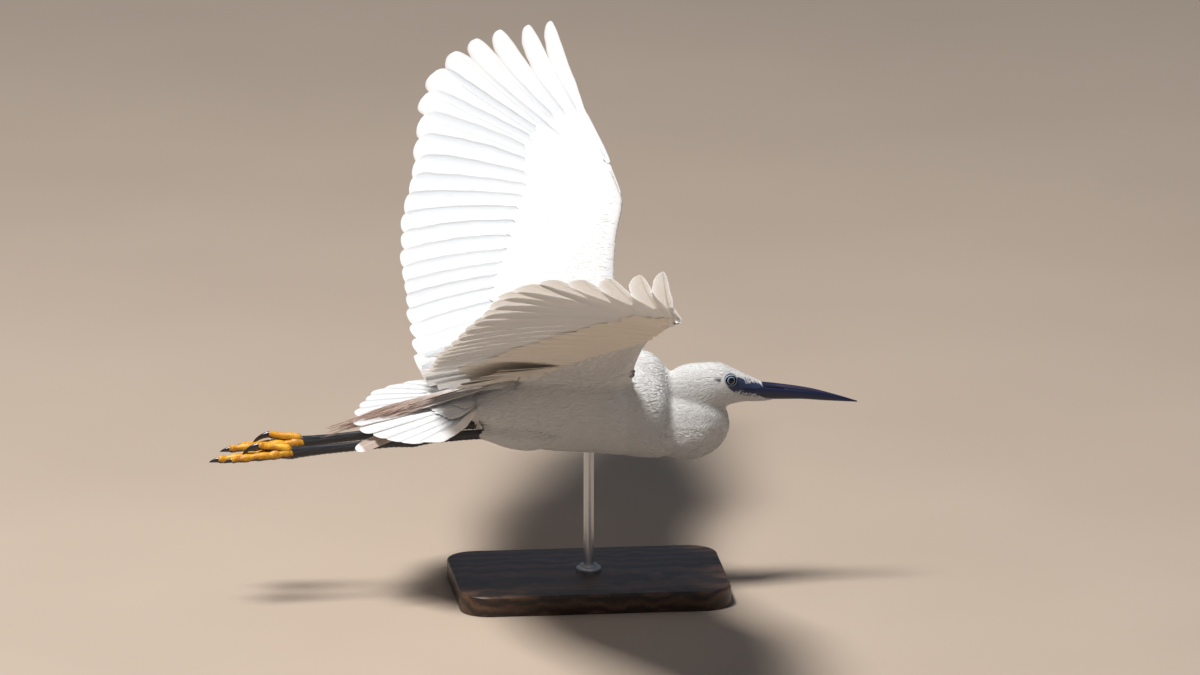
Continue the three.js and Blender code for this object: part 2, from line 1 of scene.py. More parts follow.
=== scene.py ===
import bpy
import numpy as np
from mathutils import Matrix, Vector


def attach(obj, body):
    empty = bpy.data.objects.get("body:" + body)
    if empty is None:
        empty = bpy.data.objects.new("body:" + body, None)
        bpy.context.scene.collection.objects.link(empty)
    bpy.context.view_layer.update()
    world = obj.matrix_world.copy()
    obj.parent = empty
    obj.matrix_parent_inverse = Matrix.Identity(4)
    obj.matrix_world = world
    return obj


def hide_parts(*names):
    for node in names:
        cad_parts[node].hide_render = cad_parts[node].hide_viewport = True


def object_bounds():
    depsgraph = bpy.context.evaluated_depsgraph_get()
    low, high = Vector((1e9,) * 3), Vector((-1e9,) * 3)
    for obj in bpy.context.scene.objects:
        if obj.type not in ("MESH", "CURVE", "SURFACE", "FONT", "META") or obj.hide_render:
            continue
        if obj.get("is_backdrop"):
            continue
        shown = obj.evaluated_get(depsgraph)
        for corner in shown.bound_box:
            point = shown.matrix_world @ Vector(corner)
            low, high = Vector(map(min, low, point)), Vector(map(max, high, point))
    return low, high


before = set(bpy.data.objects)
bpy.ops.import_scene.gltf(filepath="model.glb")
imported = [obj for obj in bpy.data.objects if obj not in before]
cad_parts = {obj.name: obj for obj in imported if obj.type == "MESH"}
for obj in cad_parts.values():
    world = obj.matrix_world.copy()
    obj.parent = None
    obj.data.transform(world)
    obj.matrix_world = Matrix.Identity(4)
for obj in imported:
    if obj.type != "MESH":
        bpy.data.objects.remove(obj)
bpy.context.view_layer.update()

# walnut base of the stand
# A slab of oiled walnut with rounded corners and an eased top edge, sawn and planed from one board.
# Its grain runs along the bird, and the rod is let into its middle.
BASE_LENGTH = 240.0
BASE_WIDTH = 160.0
BASE_HEIGHT = 18.0
BASE_CORNER = 26.0
BASE_EASING = 2.5


def put_mesh(name, points, faces):
    """A new object at the origin, from points in metres and a list of index arrays, a row for each face."""
    mesh = bpy.data.meshes.new(name)
    mesh.from_pydata(points.tolist(), [], [face for some in faces for face in some.tolist()])
    mesh.shade_smooth()
    piece = bpy.data.objects.new(name, mesh)
    bpy.context.scene.collection.objects.link(piece)
    return piece


def tubes(rings):
    """Points and faces of closed tubes from rings (tube, ring, around, xyz) in millimetres of the frame.

    A quad joins neighbouring points of neighbouring rings, and one flat face closes each end. The volume of
    a tube, the sum over its quads of corner dot (side cross side), tells a tube that is inside out, whose
    rings are then run the other way.
    """
    count, length, around = rings.shape[:3]
    nxt = np.roll(rings, -1, axis=2)
    here, ahead = rings[:, :-1], rings[:, 1:]
    turn = np.cross(nxt[:, :-1] - here, ahead - here)
    middle = rings.mean(axis=(1, 2), keepdims=True)
    volume = ((here - middle) * turn).sum(axis=(1, 2, 3))
    rings = np.where((volume < 0)[:, None, None, None], rings[:, :, ::-1], rings)
    index = np.arange(count * length * around).reshape(count, length, around)
    side = np.roll(index, -1, axis=2)
    quads = np.stack([index[:, :-1], side[:, :-1], side[:, 1:], index[:, 1:]], axis=-1)
    ends = np.concatenate([index[:, 0, ::-1], index[:, -1]])
    return rings.reshape(-1, 3) / 1000, [quads.reshape(-1, 4), ends], volume < 0


def tube_piece(name, rings, finish):
    """Closed tubes as one object in a finish, and which of the tubes had their rings turned."""
    points, faces, turned_over = tubes(rings)
    piece = put_mesh(name, points, faces)
    piece.data.materials.append(finish)
    return piece, turned_over


def add_node(material, kind, inputs=(), **settings):
    """One shader node; inputs are (socket, constant or another node's output) pairs."""
    node = material.node_tree.nodes.new(kind)
    for key, value in settings.items():
        setattr(node, key, value)
    for socket, value in inputs:
        if isinstance(value, bpy.types.NodeSocket):
            material.node_tree.links.new(value, node.inputs[socket])
        else:
            node.inputs[socket].default_value = value
    return node


def surface(material):
    """The sockets of a material's Principled shader."""
    return material.node_tree.nodes["Principled BSDF"].inputs


def new_finish(name, **constants):
    """A material with the constants on its Principled shader's own sockets."""
    material = bpy.data.materials.new(name)
    material.use_nodes = True
    for socket, value in constants.items():
        surface(material)[socket.replace("_", " ")].default_value = value
    return material


def paint(material, color):
    """A node's output as the colour of a material."""
    material.node_tree.links.new(color, surface(material)["Base Color"])


def color_steps(material, factor, steps):
    """A colour ramp over factor through (place, colour) steps."""
    ramp = add_node(material, "ShaderNodeValToRGB", [("Fac", factor)])
    elements = ramp.color_ramp.elements
    while len(elements) < len(steps):
        elements.new(0.5)
    for element, (place, color) in zip(elements, steps):
        element.position = place
        element.color = (*color, 1)
    return ramp.outputs["Color"]


def object_place(material):
    """Where a point of the object is, in metres."""
    return add_node(material, "ShaderNodeTexCoord").outputs["Object"]


def noise(material, place, detail, stretch):
    """Noise over a place whose axes are stretched first, with five cells a unit of the stretched place."""
    lay = add_node(material, "ShaderNodeMapping", [("Vector", place), ("Scale", stretch)])
    cloud = add_node(material, "ShaderNodeTexNoise", [("Vector", lay.outputs[0]), ("Detail", detail)])
    return cloud.outputs["Fac"]


def reckon(material, what, *values):
    """What a Math node of one kind makes of constants and outputs."""
    return add_node(material, "ShaderNodeMath", list(enumerate(values)), operation=what).outputs[0]


def blend(material, factor, one, other, how="MIX"):
    """Two colours, the second laid over the first by a factor, or multiplied with it where how says so."""
    both = [("Factor", factor), (6, one), (7, other)]
    return add_node(material, "ShaderNodeMix", both, data_type="RGBA", blend_type=how).outputs[2]


def emboss(material, height, strength, distance):
    """Relief from a height, as a bump; distance is in metres."""
    bump = add_node(
        material, "ShaderNodeBump", [("Height", height), ("Strength", strength), ("Distance", distance)]
    )
    material.node_tree.links.new(bump.outputs[0], surface(material)["Normal"])


def base_outline(inset, corner_points=14):
    """The slab's outline, pulled in by inset: four quarter circles with straight sides between them."""
    turn = np.linspace(0, np.pi / 2, corner_points)
    turn = np.concatenate([turn + quarter * np.pi / 2 for quarter in range(4)])
    quarter = np.repeat(np.arange(4), corner_points)
    middle_x = np.array([1, -1, -1, 1])[quarter] * (BASE_LENGTH / 2 - BASE_CORNER)
    middle_y = np.array([1, 1, -1, -1])[quarter] * (BASE_WIDTH / 2 - BASE_CORNER)
    reach = BASE_CORNER - inset
    return np.stack([middle_x + reach * np.cos(turn), middle_y + reach * np.sin(turn)], axis=-1)


easing = np.linspace(0, np.pi / 2, 7)
base_profile = [(1.2, 0.0), (0.3, 0.4), (0.0, 1.4)]
base_profile += [
    (BASE_EASING * (1 - np.cos(a)), BASE_HEIGHT - BASE_EASING * (1 - np.sin(a))) for a in easing
]
base_rings = np.stack([
    np.concatenate([base_outline(inset), np.full((56, 1), z)], axis=1) for inset, z in base_profile
])

walnut = new_finish("oiled_walnut", Roughness=0.42, Coat_Weight=0.12, Coat_Roughness=0.3)
where = object_place(walnut)
board = add_node(walnut, "ShaderNodeMapping", [("Vector", where), ("Location", (0.02, 0.03, 0.085))])
growth = add_node(
    walnut, "ShaderNodeTexWave",
    [("Vector", board.outputs[0]), ("Scale", 34.0), ("Distortion", 5.5), ("Detail", 3.0),
     ("Detail Scale", 1.6)],
    wave_type="RINGS", rings_direction="X",
)
wander = noise(walnut, where, 3.0, (5.0, 26.0, 26.0))
pores = noise(walnut, where, 4.0, (45.0, 900.0, 900.0))
brown = color_steps(walnut, reckon(walnut, "MULTIPLY", growth.outputs["Fac"], wander), [
    (0.05, (0.028, 0.013, 0.007)), (0.3, (0.072, 0.034, 0.017)), (0.62, (0.13, 0.066, 0.034)),
])
pore_brown = color_steps(walnut, pores, [(0.38, (0.35, 0.3, 0.28)), (0.52, (1, 1, 1))])
paint(walnut, blend(walnut, 0.8, brown, pore_brown, "MULTIPLY"))
emboss(walnut, pores, 0.12, 0.0004)
base, _ = tube_piece("walnut_base", base_rings[None], walnut)
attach(base, "root")
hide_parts("stand_base")

# steel rod and its collar
# A turned rod of brushed steel, held at the foot by a collar that is screwed down on the walnut.
# Its upper end goes into the belly of the model.
ROD_RADIUS = 4.5
ROD_TOP = BASE_HEIGHT + 108.0 + 4.0
COLLAR_RADIUS = 11.0
COLLAR_HEIGHT = 7.0


def turned(profile, around=56):
    """Rings of a lathe-turned part about the frame's Z axis, from (radius, height) pairs."""
    radius, height = np.array(profile, float).T
    turn = np.linspace(0, 2 * np.pi, around, endpoint=False)
    ring = np.stack([np.cos(turn), np.sin(turn), np.zeros(around)], axis=-1)
    return ring * radius[:, None, None] + np.array([0, 0, 1.0]) * height[:, None, None]


collar_shoulder = [
    (COLLAR_RADIUS - 2.4 * (1 - np.cos(a)), BASE_HEIGHT + 2.6 + 2.4 * np.sin(a)) for a in easing
]
rod_profile = [(COLLAR_RADIUS - 0.3, BASE_HEIGHT - 1.0), (COLLAR_RADIUS, BASE_HEIGHT + 0.3)]
rod_profile += collar_shoulder + [
    (7.6, BASE_HEIGHT + 5.1), (7.4, BASE_HEIGHT + 5.4), (7.4, BASE_HEIGHT + 6.7),
    (7.1, BASE_HEIGHT + COLLAR_HEIGHT), (4.9, BASE_HEIGHT + COLLAR_HEIGHT), (4.6, BASE_HEIGHT + 6.6),
    (ROD_RADIUS, BASE_HEIGHT + 6.7),
]
rod_profile += [(ROD_RADIUS, z) for z in np.linspace(BASE_HEIGHT + 8, ROD_TOP, 12)]

steel = new_finish("brushed_steel", Metallic=1.0, Roughness=0.3)
brush = noise(steel, object_place(steel), 4.0, (160.0, 160.0, 5200.0))
paint(steel, color_steps(steel, brush, [(0.35, (0.42, 0.43, 0.45)), (0.65, (0.6, 0.61, 0.63))]))
emboss(steel, brush, 0.06, 0.0002)
rod, _ = tube_piece("steel_rod_and_collar", turned(rod_profile)[None], steel)
rod.data.set_sharp_from_angle(angle=0.7)
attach(rod, "root")
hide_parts("stand_rod")

# one skin over body, neck, head, thighs and the arms of the wings
# The skin of the mount, drawn over the form in one piece. It is pale and hidden under the feathers,
# and bare only on the lores, where it is blue-grey. It lies deeper than the coat by the coat's depth.
BIRD = np.array([10.0, 0.0, 173.6])
GRAIN = 0.0018
BACK = [[-128, 5], [-108, 14], [-82, 25], [-50, 34], [-15, 40], [25, 41], [50, 30], [66, 4]]
BELLY = [[-128, -8], [-108, -20], [-82, -35], [-50, -44], [0, -48.2], [50, -54.5], [66, -50]]
FLANK = [[-128, 9], [-108, 20], [-82, 30], [-50, 38], [0, 43], [30, 40], [50, 31], [66, 12]]
CROWN = [[60, 20], [68, 28.5], [80, 31.6], [98, 32.2], [108, 31.2], [117, 27], [130, 20.2], [146, 12.6]]
JAW = [[60, -12], [72, -19], [88, -21], [105, -10.5], [118, -7], [133, -5.2], [146, -4]]
CHEEK = [[60, 8], [68, 13.5], [84, 16.2], [104, 16], [117, 13.4], [130, 9.6], [146, 6.6]]
HUMP = [(33, 0, 4), (32.5, 25, 42.5)]
LOOP = [(77, 0, -23.5), (38.5, 22, 33.5)]
CHIN = [(139, 0, -1.6), (20, 6.0, 4.4)]
THIGH = [(-44, 22, -24, 12), (-66, 21, -26, 14), (-84, 19.5, -26, 11.5), (-98, 18, -24.5, 8),
         (-112, 17.5, -23.6, 4.2)]
EDGE_X = [[14, 25], [45, 28], [105, 27.5], [160, 33.5], [205, 44], [214, 45], [240, 43], [294, 39]]
EDGE_Z = [[14, -4], [30, 19], [60, 48], [105, 72], [160, 101], [214, 125], [294, 145]]
ROOT_X = [[14, -66], [46, -52], [108, -30], [160, 2], [208, 33], [216, 36], [277, 34]]
ROOT_Z = [[14, 22], [46, 44], [108, 71], [160, 95], [208, 120], [277, 140.5], [292, 144]]
ARM_THICK = [[14, 26], [60, 16], [105, 12], [160, 10], [214, 9], [255, 5.5], [292, 1.6]]
ARM_BEHIND = [[14, 16], [108, 13], [214, 9], [292, 4]]


def through(knots):
    """A smooth curve through (place, value) knots: a cubic between neighbours, whose slope at a knot is the
    harmonic mean of the slopes beside it, or none at a peak, so it never overshoots. Flat past the ends."""
    place, value = np.array(knots, float).T
    slope = np.diff(value) / np.diff(place)
    before, after = slope[:-1], slope[1:]
    same = before * after > 0
    inner = np.where(same, 2 * before * after / np.where(same, before + after, 1), 0)
    tangent = np.concatenate([slope[:1], inner, slope[-1:]])

    def curve(x):
        x = np.clip(x, place[0], place[-1])
        i = np.clip(np.searchsorted(place, x, side="right") - 1, 0, len(slope) - 1)
        span = place[i + 1] - place[i]
        t = (x - place[i]) / span
        low = (1 + 2 * t) * (1 - t) ** 2 * value[i] + t * (1 - t) ** 2 * span * tangent[i]
        high = t * t * (3 - 2 * t) * value[i + 1] + t * t * (t - 1) * span * tangent[i + 1]
        return low + high

    return curve


def mix(a, b, t):
    return a + (b - a) * t


def unit(v):
    return v / np.maximum(np.linalg.norm(v, axis=-1, keepdims=True), 1e-9)


def body_loft(start, end, top, bottom, half, share, power=2.1, stations=80, around=96):
    """A closed form along X: each ring is a superellipse, widest at a share of the way from the bottom
    to the top, with its own height above and below that level."""
    x = np.linspace(start, end, stations)[:, None]
    turn = np.linspace(0, 2 * np.pi, around, endpoint=False)
    top, bottom, half = through(top)(x), through(bottom)(x), through(half)(x)
    level = mix(bottom, top, share)
    full = [np.sign(w) * np.abs(w) ** (2 / power) for w in (np.cos(turn), np.sin(turn))]
    rise = np.where(np.sin(turn) > 0, top - level, level - bottom)
    return np.stack([x + 0 * turn, half * full[0], level + rise * full[1]], axis=-1)


def egg(middle, reach, rings=48, around=72):
    """An ellipsoid, its rings evenly spaced in angle from pole to pole along X."""
    polar = np.linspace(0.02, np.pi - 0.02, rings)[:, None]
    turn = np.linspace(0, 2 * np.pi, around, endpoint=False)
    ball = np.stack([
        -np.cos(polar) + 0 * turn, np.sin(polar) * np.cos(turn), np.sin(polar) * np.sin(turn)
    ], axis=-1)
    return np.array(middle, float) + ball * np.array(reach, float)


def limb(stations, around=40, steps=60):
    """A tapering round limb through (x, y, z, radius) stations, its rings square to X."""
    stations = np.array(sorted(stations), float)
    x = np.linspace(stations[0, 0], stations[-1, 0], steps)
    y, z, radius = [through(stations[:, [0, k]])(x)[:, None] for k in (1, 2, 3)]
    turn = np.linspace(0, 2 * np.pi, around, endpoint=False)
    return np.stack([x[:, None] + 0 * turn, y + radius * np.cos(turn), z + radius * np.sin(turn)], axis=-1)


def wing_arm(side, stations=90):
    """The fleshy arm of a wing: at each place along the span a wing section, rounded in front and thin
    behind, between the leading edge and the roots of the flight feathers."""
    y = np.linspace(14, 292, stations)[:, None]
    back = (1 - np.cos(np.linspace(0, np.pi, 22))) / 2
    upper = through([[0, 0], [.05, .6], [.22, 1], [.6, .8], [1, .18]])(back)
    lower = through([[0, 0], [.05, -.5], [.25, -.8], [.6, -.55], [1, -.18]])(back)
    back = np.concatenate([back, back[-1:0:-1]])
    up = np.concatenate([upper, lower[-1:0:-1]])
    x = mix(through(EDGE_X)(y), through(ROOT_X)(y) - through(ARM_BEHIND)(y), back)
    z = mix(through(EDGE_Z)(y), through(ROOT_Z)(y), back) + up * through(ARM_THICK)(y) / 2
    return np.stack([x, side * y + 0 * x, z], axis=-1)


def joined(name, forms):
    """One object from several closed forms, each an array (ring, around, xyz) in bird millimetres."""
    points, faces, count = [], [], 0
    for form in forms:
        some, their, _ = tubes((form + BIRD)[None])
        points.append(some)
        faces += [face + count for face in their]
        count += len(some)
    return put_mesh(name, np.concatenate(points), faces)


def settled(piece):
    """The object with its modifiers made real."""
    bpy.context.view_layer.update()
    real = bpy.data.meshes.new_from_object(piece.evaluated_get(bpy.context.evaluated_depsgraph_get()))
    piece.modifiers.clear()
    piece.data = real
    return piece


skin = joined("skin", [
    body_loft(-128, 66, BACK, BELLY, FLANK, 0.55),
    body_loft(60, 146, CROWN, JAW, CHEEK, 0.52),
    egg(*HUMP),
    egg(*LOOP),
    egg(*CHIN),
    limb(THIGH),
    limb([(x, -y, z, r) for x, y, z, r in THIGH]),
    wing_arm(1),
    wing_arm(-1),
])
remesh = skin.modifiers.new("one skin", "REMESH")
remesh.mode = "VOXEL"
remesh.voxel_size = GRAIN
remesh.adaptivity = 0
soften = skin.modifiers.new("soft joins", "SMOOTH")
soften.factor = 0.5
soften.iterations = 9
skin = settled(skin)


def vertex_arrays(piece):
    """Points in bird millimetres and normals of a mesh, as arrays."""
    count = len(piece.data.vertices)
    points, normals = np.empty(count * 3), np.empty(count * 3)
    piece.data.vertices.foreach_get("co", points)
    piece.data.vertices.foreach_get("normal", normals)
    return points.reshape(-1, 3) * 1000 - BIRD, normals.reshape(-1, 3)


def on_wing(points):
    """How far a point is out on a wing, 0 at the shoulder and 1 from 22 mm outside it."""
    shoulder = 44 + 0.25 * np.abs(points[:, 0])
    return np.clip((np.abs(points[:, 1]) - shoulder) / 22, 0, 1)


def on_face(points):
    """How far a point is forward on the face, 0 at the back of the head and 1 at the bill."""
    return np.clip((points[:, 0] - 84) / 40, 0, 1) * (points[:, 2] > -14)


def coat_depth(points):
    """Depth of the coat in millimetres: full on the body, thinner on the neck, the face and the wings."""
    wing = on_wing(points)
    outer = np.clip((np.abs(points[:, 1]) - 180) / 100, 0, 1)
    deep = through([[20, 2.1], [55, 1.6], [85, 1.3], [125, 1.0]])(points[:, 0])
    return deep * (1 - wing) + wing * mix(1.2, 0.4, outer)


points, normals = vertex_arrays(skin)
points = points - normals * coat_depth(points)[:, None]
skin.data.vertices.foreach_set("co", ((points + BIRD) / 1000).ravel())
skin.data.update()
skin.data.shade_smooth()


def in_ellipse(material, x, z, tilt, long, high):
    """How far out a point lies in an ellipse seen from the side, 1 on its rim. Its middle, x and z, and its
    half-axes, long and high, are in metres, and it is tilted about Y."""
    lay = add_node(
        material, "ShaderNodeMapping",
        [("Vector", object_place(material)), ("Location", (x, 0.0, z)), ("Rotation", (0.0, tilt, 0.0)),
         ("Scale", (long, 1.0, high))],
        vector_type="TEXTURE",
    )
    out = add_node(material, "ShaderNodeVectorMath", [(0, lay.outputs[0])], operation="LENGTH")
    return out.outputs["Value"]


skin_paint = new_finish("pale_skin_and_blue_grey_lores", Roughness=0.5)
pits = noise(skin_paint, object_place(skin_paint), 3.0, (180.0, 180.0, 180.0))
lore_blue = color_steps(skin_paint, in_ellipse(skin_paint, 0.1385, 0.1836, 0.34, 0.0195, 0.0080), [
    (0.0, (0.022, 0.034, 0.085)), (0.9, (0.032, 0.048, 0.11)), (1.0, (0.72, 0.70, 0.67)),
])
mottle = color_steps(skin_paint, pits, [(0.3, (0.72, 0.74, 0.78)), (0.7, (1, 1, 1))])
paint(skin_paint, blend(skin_paint, 0.7, lore_blue, mottle, "MULTIPLY"))
emboss(skin_paint, pits, 0.3, 0.0004)
skin.data.materials.append(skin_paint)
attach(skin, "root")
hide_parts("torso", "neck_upper", "neck_lower", "head", "thigh_left", "thigh_right")

# eyes and their lids
# A glass eye for each side, with a black pupil, a pale iris and a clear bulging front. It is set in the
# head behind a ring of bare lid skin, dark at the rim and pale blue-grey outside it.
EYE_MIDDLE = np.array([114.0, 9.4, 17.7])
EYE_RADIUS = 5.7
EYE_SUNK = 0.35
CORNEA_BULGE = 0.45
CORNEA_ANGLE = 0.62
SIDES = ((1, "left"), (-1, "right"))
LOOKS = unit(np.array([0.16, 1.0, 0.05]))
LID = [(4.9, 1.6), (4.65, 2.8), (4.5, 3.45), (4.7, 3.9), (5.05, 3.95), (5.45, 3.55), (5.85, 2.7),
       (6.15, 1.5), (6.1, 0.3), (5.4, 0.4)]


def about_gaze(side, radius, height, turn):
    """Points at a radius round the line of sight and a height out along it. Turn 0 is forward."""
    looks = LOOKS * [1, side, 1]
    ahead = unit(np.cross([0, 0, 1.0], looks) * -side)
    up = unit(np.cross(ahead, looks) * side)
    ahead, up = ahead * np.sign(ahead[0]), up * np.sign(up[2])
    radius, height, turn = [np.asarray(v)[..., None] for v in (radius, height, turn)]
    out = radius * (np.cos(turn) * ahead + np.sin(turn) * up) + height * looks
    return EYE_MIDDLE * [1, side, 1] + out + BIRD


def paint_map(piece, name, coordinates):
    """A UV map from one (u, v) pair for a vertex, in an array of any shape whose last axis is the pair."""
    layer = piece.data.uv_layers.new(name=name)
    corner = np.empty(len(piece.data.loops), int)
    piece.data.loops.foreach_get("vertex_index", corner)
    layer.data.foreach_set("uv", coordinates.reshape(-1, 2)[corner].astype(np.float32).ravel())


def as_turned(grid, turned_over):
    """Values for the points of tubes (tube, ring, around, value), turned where the tube's rings were."""
    return np.where(turned_over[:, None, None, None], grid[:, :, ::-1], grid)


def own_map(material, name):
    """A piece's own UV map, whole, and its u and v."""
    lay = add_node(material, "ShaderNodeUVMap", uv_map=name)
    split = add_node(material, "ShaderNodeSeparateXYZ", [("Vector", lay.outputs[0])])
    return lay.outputs[0], split.outputs["X"], split.outputs["Y"]


eye_glass = new_finish("glass_eye", Roughness=0.05, Coat_Weight=0.3, Coat_Roughness=0.02, IOR=1.36)
gaze_map, _, off_gaze = own_map(eye_glass, "gaze")
fleck = noise(eye_glass, gaze_map, 2.0, (70.0, 3.0, 1.0))
eye_color = color_steps(eye_glass, off_gaze, [
    (0.0, (0.002, 0.002, 0.003)), (0.41, (0.003, 0.003, 0.004)), (0.45, (0.05, 0.065, 0.10)),
    (0.49, (0.27, 0.35, 0.48)), (0.57, (0.31, 0.39, 0.53)), (0.61, (0.010, 0.014, 0.026)),
    (1.0, (0.006, 0.007, 0.01)),
])
flecks = color_steps(eye_glass, fleck, [(0.35, (0.5, 0.5, 0.5)), (0.6, (1, 1, 1))])
paint(eye_glass, blend(eye_glass, 0.75, eye_color, flecks, "MULTIPLY"))

lid_skin = new_finish("bare_lid_skin", Roughness=0.42)
ring_map, _, over_lid = own_map(lid_skin, "ring")
wrinkle = noise(lid_skin, ring_map, 3.0, (60.0, 14.0, 1.0))
lid_color = color_steps(lid_skin, over_lid, [
    (0.0, (0.006, 0.008, 0.014)), (0.36, (0.01, 0.014, 0.026)), (0.41, (0.30, 0.37, 0.50)),
    (0.56, (0.33, 0.41, 0.54)), (0.61, (0.025, 0.035, 0.06)), (1.0, (0.012, 0.018, 0.035)),
])
paint(lid_skin, lid_color)
emboss(lid_skin, wrinkle, 0.35, 0.0003)

for side, side_name in SIDES:
    polar = np.linspace(0.015, np.pi - 0.015, 56)[:, None]
    turn = np.linspace(0, 2 * np.pi, 64, endpoint=False)[None]
    reach = EYE_RADIUS + CORNEA_BULGE * np.exp(-(polar / CORNEA_ANGLE) ** 2)
    ball = about_gaze(side, reach * np.sin(polar), reach * np.cos(polar) - EYE_SUNK, turn)
    eye, turned_over = tube_piece("eye_ball_" + side_name, ball[None], eye_glass)
    outward = np.sin(np.minimum(polar, np.pi / 2))
    gaze = np.stack([turn / (2 * np.pi) + 0 * polar, outward + 0 * turn], axis=-1)
    paint_map(eye, "gaze", as_turned(gaze[None], turned_over))
    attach(eye, "root")
    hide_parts("eye_" + side_name)

    turn = np.linspace(0, 2 * np.pi, 72, endpoint=False)[:, None]
    ring = np.array(LID)
    longer = 1 + 0.05 * np.cos(2 * turn) - 0.03 * np.sin(turn)
    hood = 0.25 * np.sin(turn) * np.clip(ring[:, 1] - 2, 0, 2) / 2
    lid = about_gaze(side, ring[:, 0] * longer, ring[:, 1] + hood, turn)
    count, around = lid.shape[:2]
    index = np.arange(count * around).reshape(count, around)
    corner = [index, np.roll(index, -1, 1), np.roll(np.roll(index, -1, 1), -1, 0), np.roll(index, -1, 0)]
    faces = np.stack(corner[:: -side], axis=-1).reshape(-1, 4)
    lids = put_mesh("eye_lids_" + side_name, lid.reshape(-1, 3) / 1000, [faces])
    outward = np.linspace(0, 1, around)
    around_lid = np.stack([turn / (2 * np.pi) + 0 * outward, outward + 0 * turn], axis=-1)
    paint_map(lids, "ring", around_lid)
    finer = lids.modifiers.new("finer", "SUBSURF")
    finer.levels = finer.render_levels = 1
    lids.data.materials.append(lid_skin)
    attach(lids, "root")

# bill
# Two horny sheaths, blue-black and dull-glossed: the upper with a round ridge, a long nasal groove and a
# slit nostril, the lower with a keel. They meet at the mouth line, and the head's feathers lap their bases.
CULMEN = [[122, 18], [138, 13.4], [154, 11.3], [184, 6.2], [212, -1.8], [228, -7.2]]
GONYS = [[122, -3.4], [138, -2.6], [157, -3.4], [177, -3.9], [198, -5.8], [228, -8.2]]
BILL_WIDTH = [[122, 11.0], [130, 9.2], [138, 7.5], [154, 6], [184, 3.9], [212, 2], [228, 0.45]]
BILL_START = 124.0
BILL_LENGTH = 104.0
MOUTH_BASE = (138.0, 4.6)
MOUTH_TIP = (228.0, -7.6)
SECTION_POINTS = 41
INNER_POINTS = 9
# for each groove: depth, angle on the section, width of the bell, start, end and how softly it ends
NASAL_GROOVE = (0.75, 0.74, 0.15, 150, 178, 22)
NOSTRIL = (0.7, 0.70, 0.055, 147, 162, 3)
SIDE_GROOVE = (0.3, 0.62, 0.16, 150, 186, 18)


def mouth_line(x):
    """Height of the closed edges, on a straight line from the base of the bill to its tip."""
    return mix(MOUTH_BASE[1], MOUTH_TIP[1], (x - MOUTH_BASE[0]) / (MOUTH_TIP[0] - MOUTH_BASE[0]))


def bell(value, middle, width):
    return np.exp(-((value - middle) / width) ** 2)


def window(value, start, end, soft):
    """1 between start and end, falling to 0 over soft beyond them."""
    return np.clip((value - start) / soft + 1, 0, 1) * np.clip((end - value) / soft + 1, 0, 1)


def groove(low, x, depth, angle, width, start, end, soft):
    """A groove along the bill: depth times a bell round one angle of its section, from start to end."""
    return depth * bell(low, angle, width) * window(x, start, end, soft)


def bill_half(upper, stations=150):
    """A sheath of the bill. Across the top or keel, the section's half-width is width times cosine and its
    height is height times sine, both of one angle. The nasal groove and the nostril are pressed into it."""
    x = (BILL_START + BILL_LENGTH * np.linspace(0, 1, stations) ** 0.93)[:, None]
    width = through(BILL_WIDTH)(x)
    edge = mouth_line(x)
    turn = np.linspace(0, np.pi, SECTION_POINTS)[None]
    out, rise = np.cos(turn), np.sin(turn)
    low = np.minimum(turn, np.pi - turn)
    if upper:
        height = through(CULMEN)(x) - edge
        y = width * np.sign(out) * np.abs(out) ** 1.1
        z = edge + height * rise ** 1.02
        pressed = groove(low, x, *NASAL_GROOVE) + groove(low, x, *NOSTRIL)
        y = y - np.sign(out) * pressed * np.minimum(1, width / 4)
        z = z - 0.35 * pressed
        z = z - 0.35 * bell(low, 0, 0.2)
        inner = np.linspace(-0.93, 0.93, INNER_POINTS)[None]
        y = np.concatenate([y, inner * width], axis=1)
        z = np.concatenate([z, edge + 0.5 * (1 - inner ** 2) * np.minimum(1, width / 4)], axis=1)
    else:
        height = edge - 0.25 - through(GONYS)(x)
        width = width * mix(0.84, 1.0, np.clip((x - 130) / 16, 0, 1))
        y = 0.93 * width * np.sign(out) * np.abs(out) ** 0.95
        z = edge - 0.25 - height * rise ** 0.9
        y = y - np.sign(out) * groove(low, x, *SIDE_GROOVE)
        inner = np.linspace(-0.9, 0.9, INNER_POINTS)[None]
        y = np.concatenate([y, 0.93 * inner * width], axis=1)
        z = np.concatenate([z, edge - 0.3 - 0.3 * (1 - inner ** 2) * np.minimum(1, width / 4)], axis=1)
    return np.stack([x + 0 * y, y, z], axis=-1)


horn = new_finish("blue_black_horn", Roughness=0.34, Coat_Weight=0.25, Coat_Roughness=0.22)
sheath_map, along_bill, round_bill = own_map(horn, "sheath")
grain = noise(horn, sheath_map, 4.0, (9.0, 110.0, 1.0))
# A paler pinkish-brown streak along the upper side of the upper sheath, weaker on the lower: partly paler
# horn, partly a painted highlight along the ridge.
pale_horn_and_highlight_round = color_steps(horn, round_bill, [
    (0.0, (0, 0, 0)), (0.45, (0, 0, 0)), (0.62, (1, 1, 1)), (0.78, (0.75, 0.75, 0.75)), (0.92, (0, 0, 0)),
])
pale_horn_and_highlight_along = color_steps(horn, along_bill, [
    (0.18, (0, 0, 0)), (0.34, (1, 1, 1)), (0.7, (0.8, 0.8, 0.8)), (0.92, (0, 0, 0)),
])
pale_horn_and_painted_highlight = reckon(horn, "MULTIPLY", reckon(horn, "MULTIPLY", pale_horn_and_highlight_round, pale_horn_and_highlight_along), grain)
horn_color = color_steps(horn, pale_horn_and_painted_highlight, [
    (0.0, (0.006, 0.009, 0.036)), (0.3, (0.015, 0.017, 0.056)), (0.75, (0.10, 0.072, 0.105)),
])
paint(horn, horn_color)
emboss(horn, grain, 0.22, 0.0004)

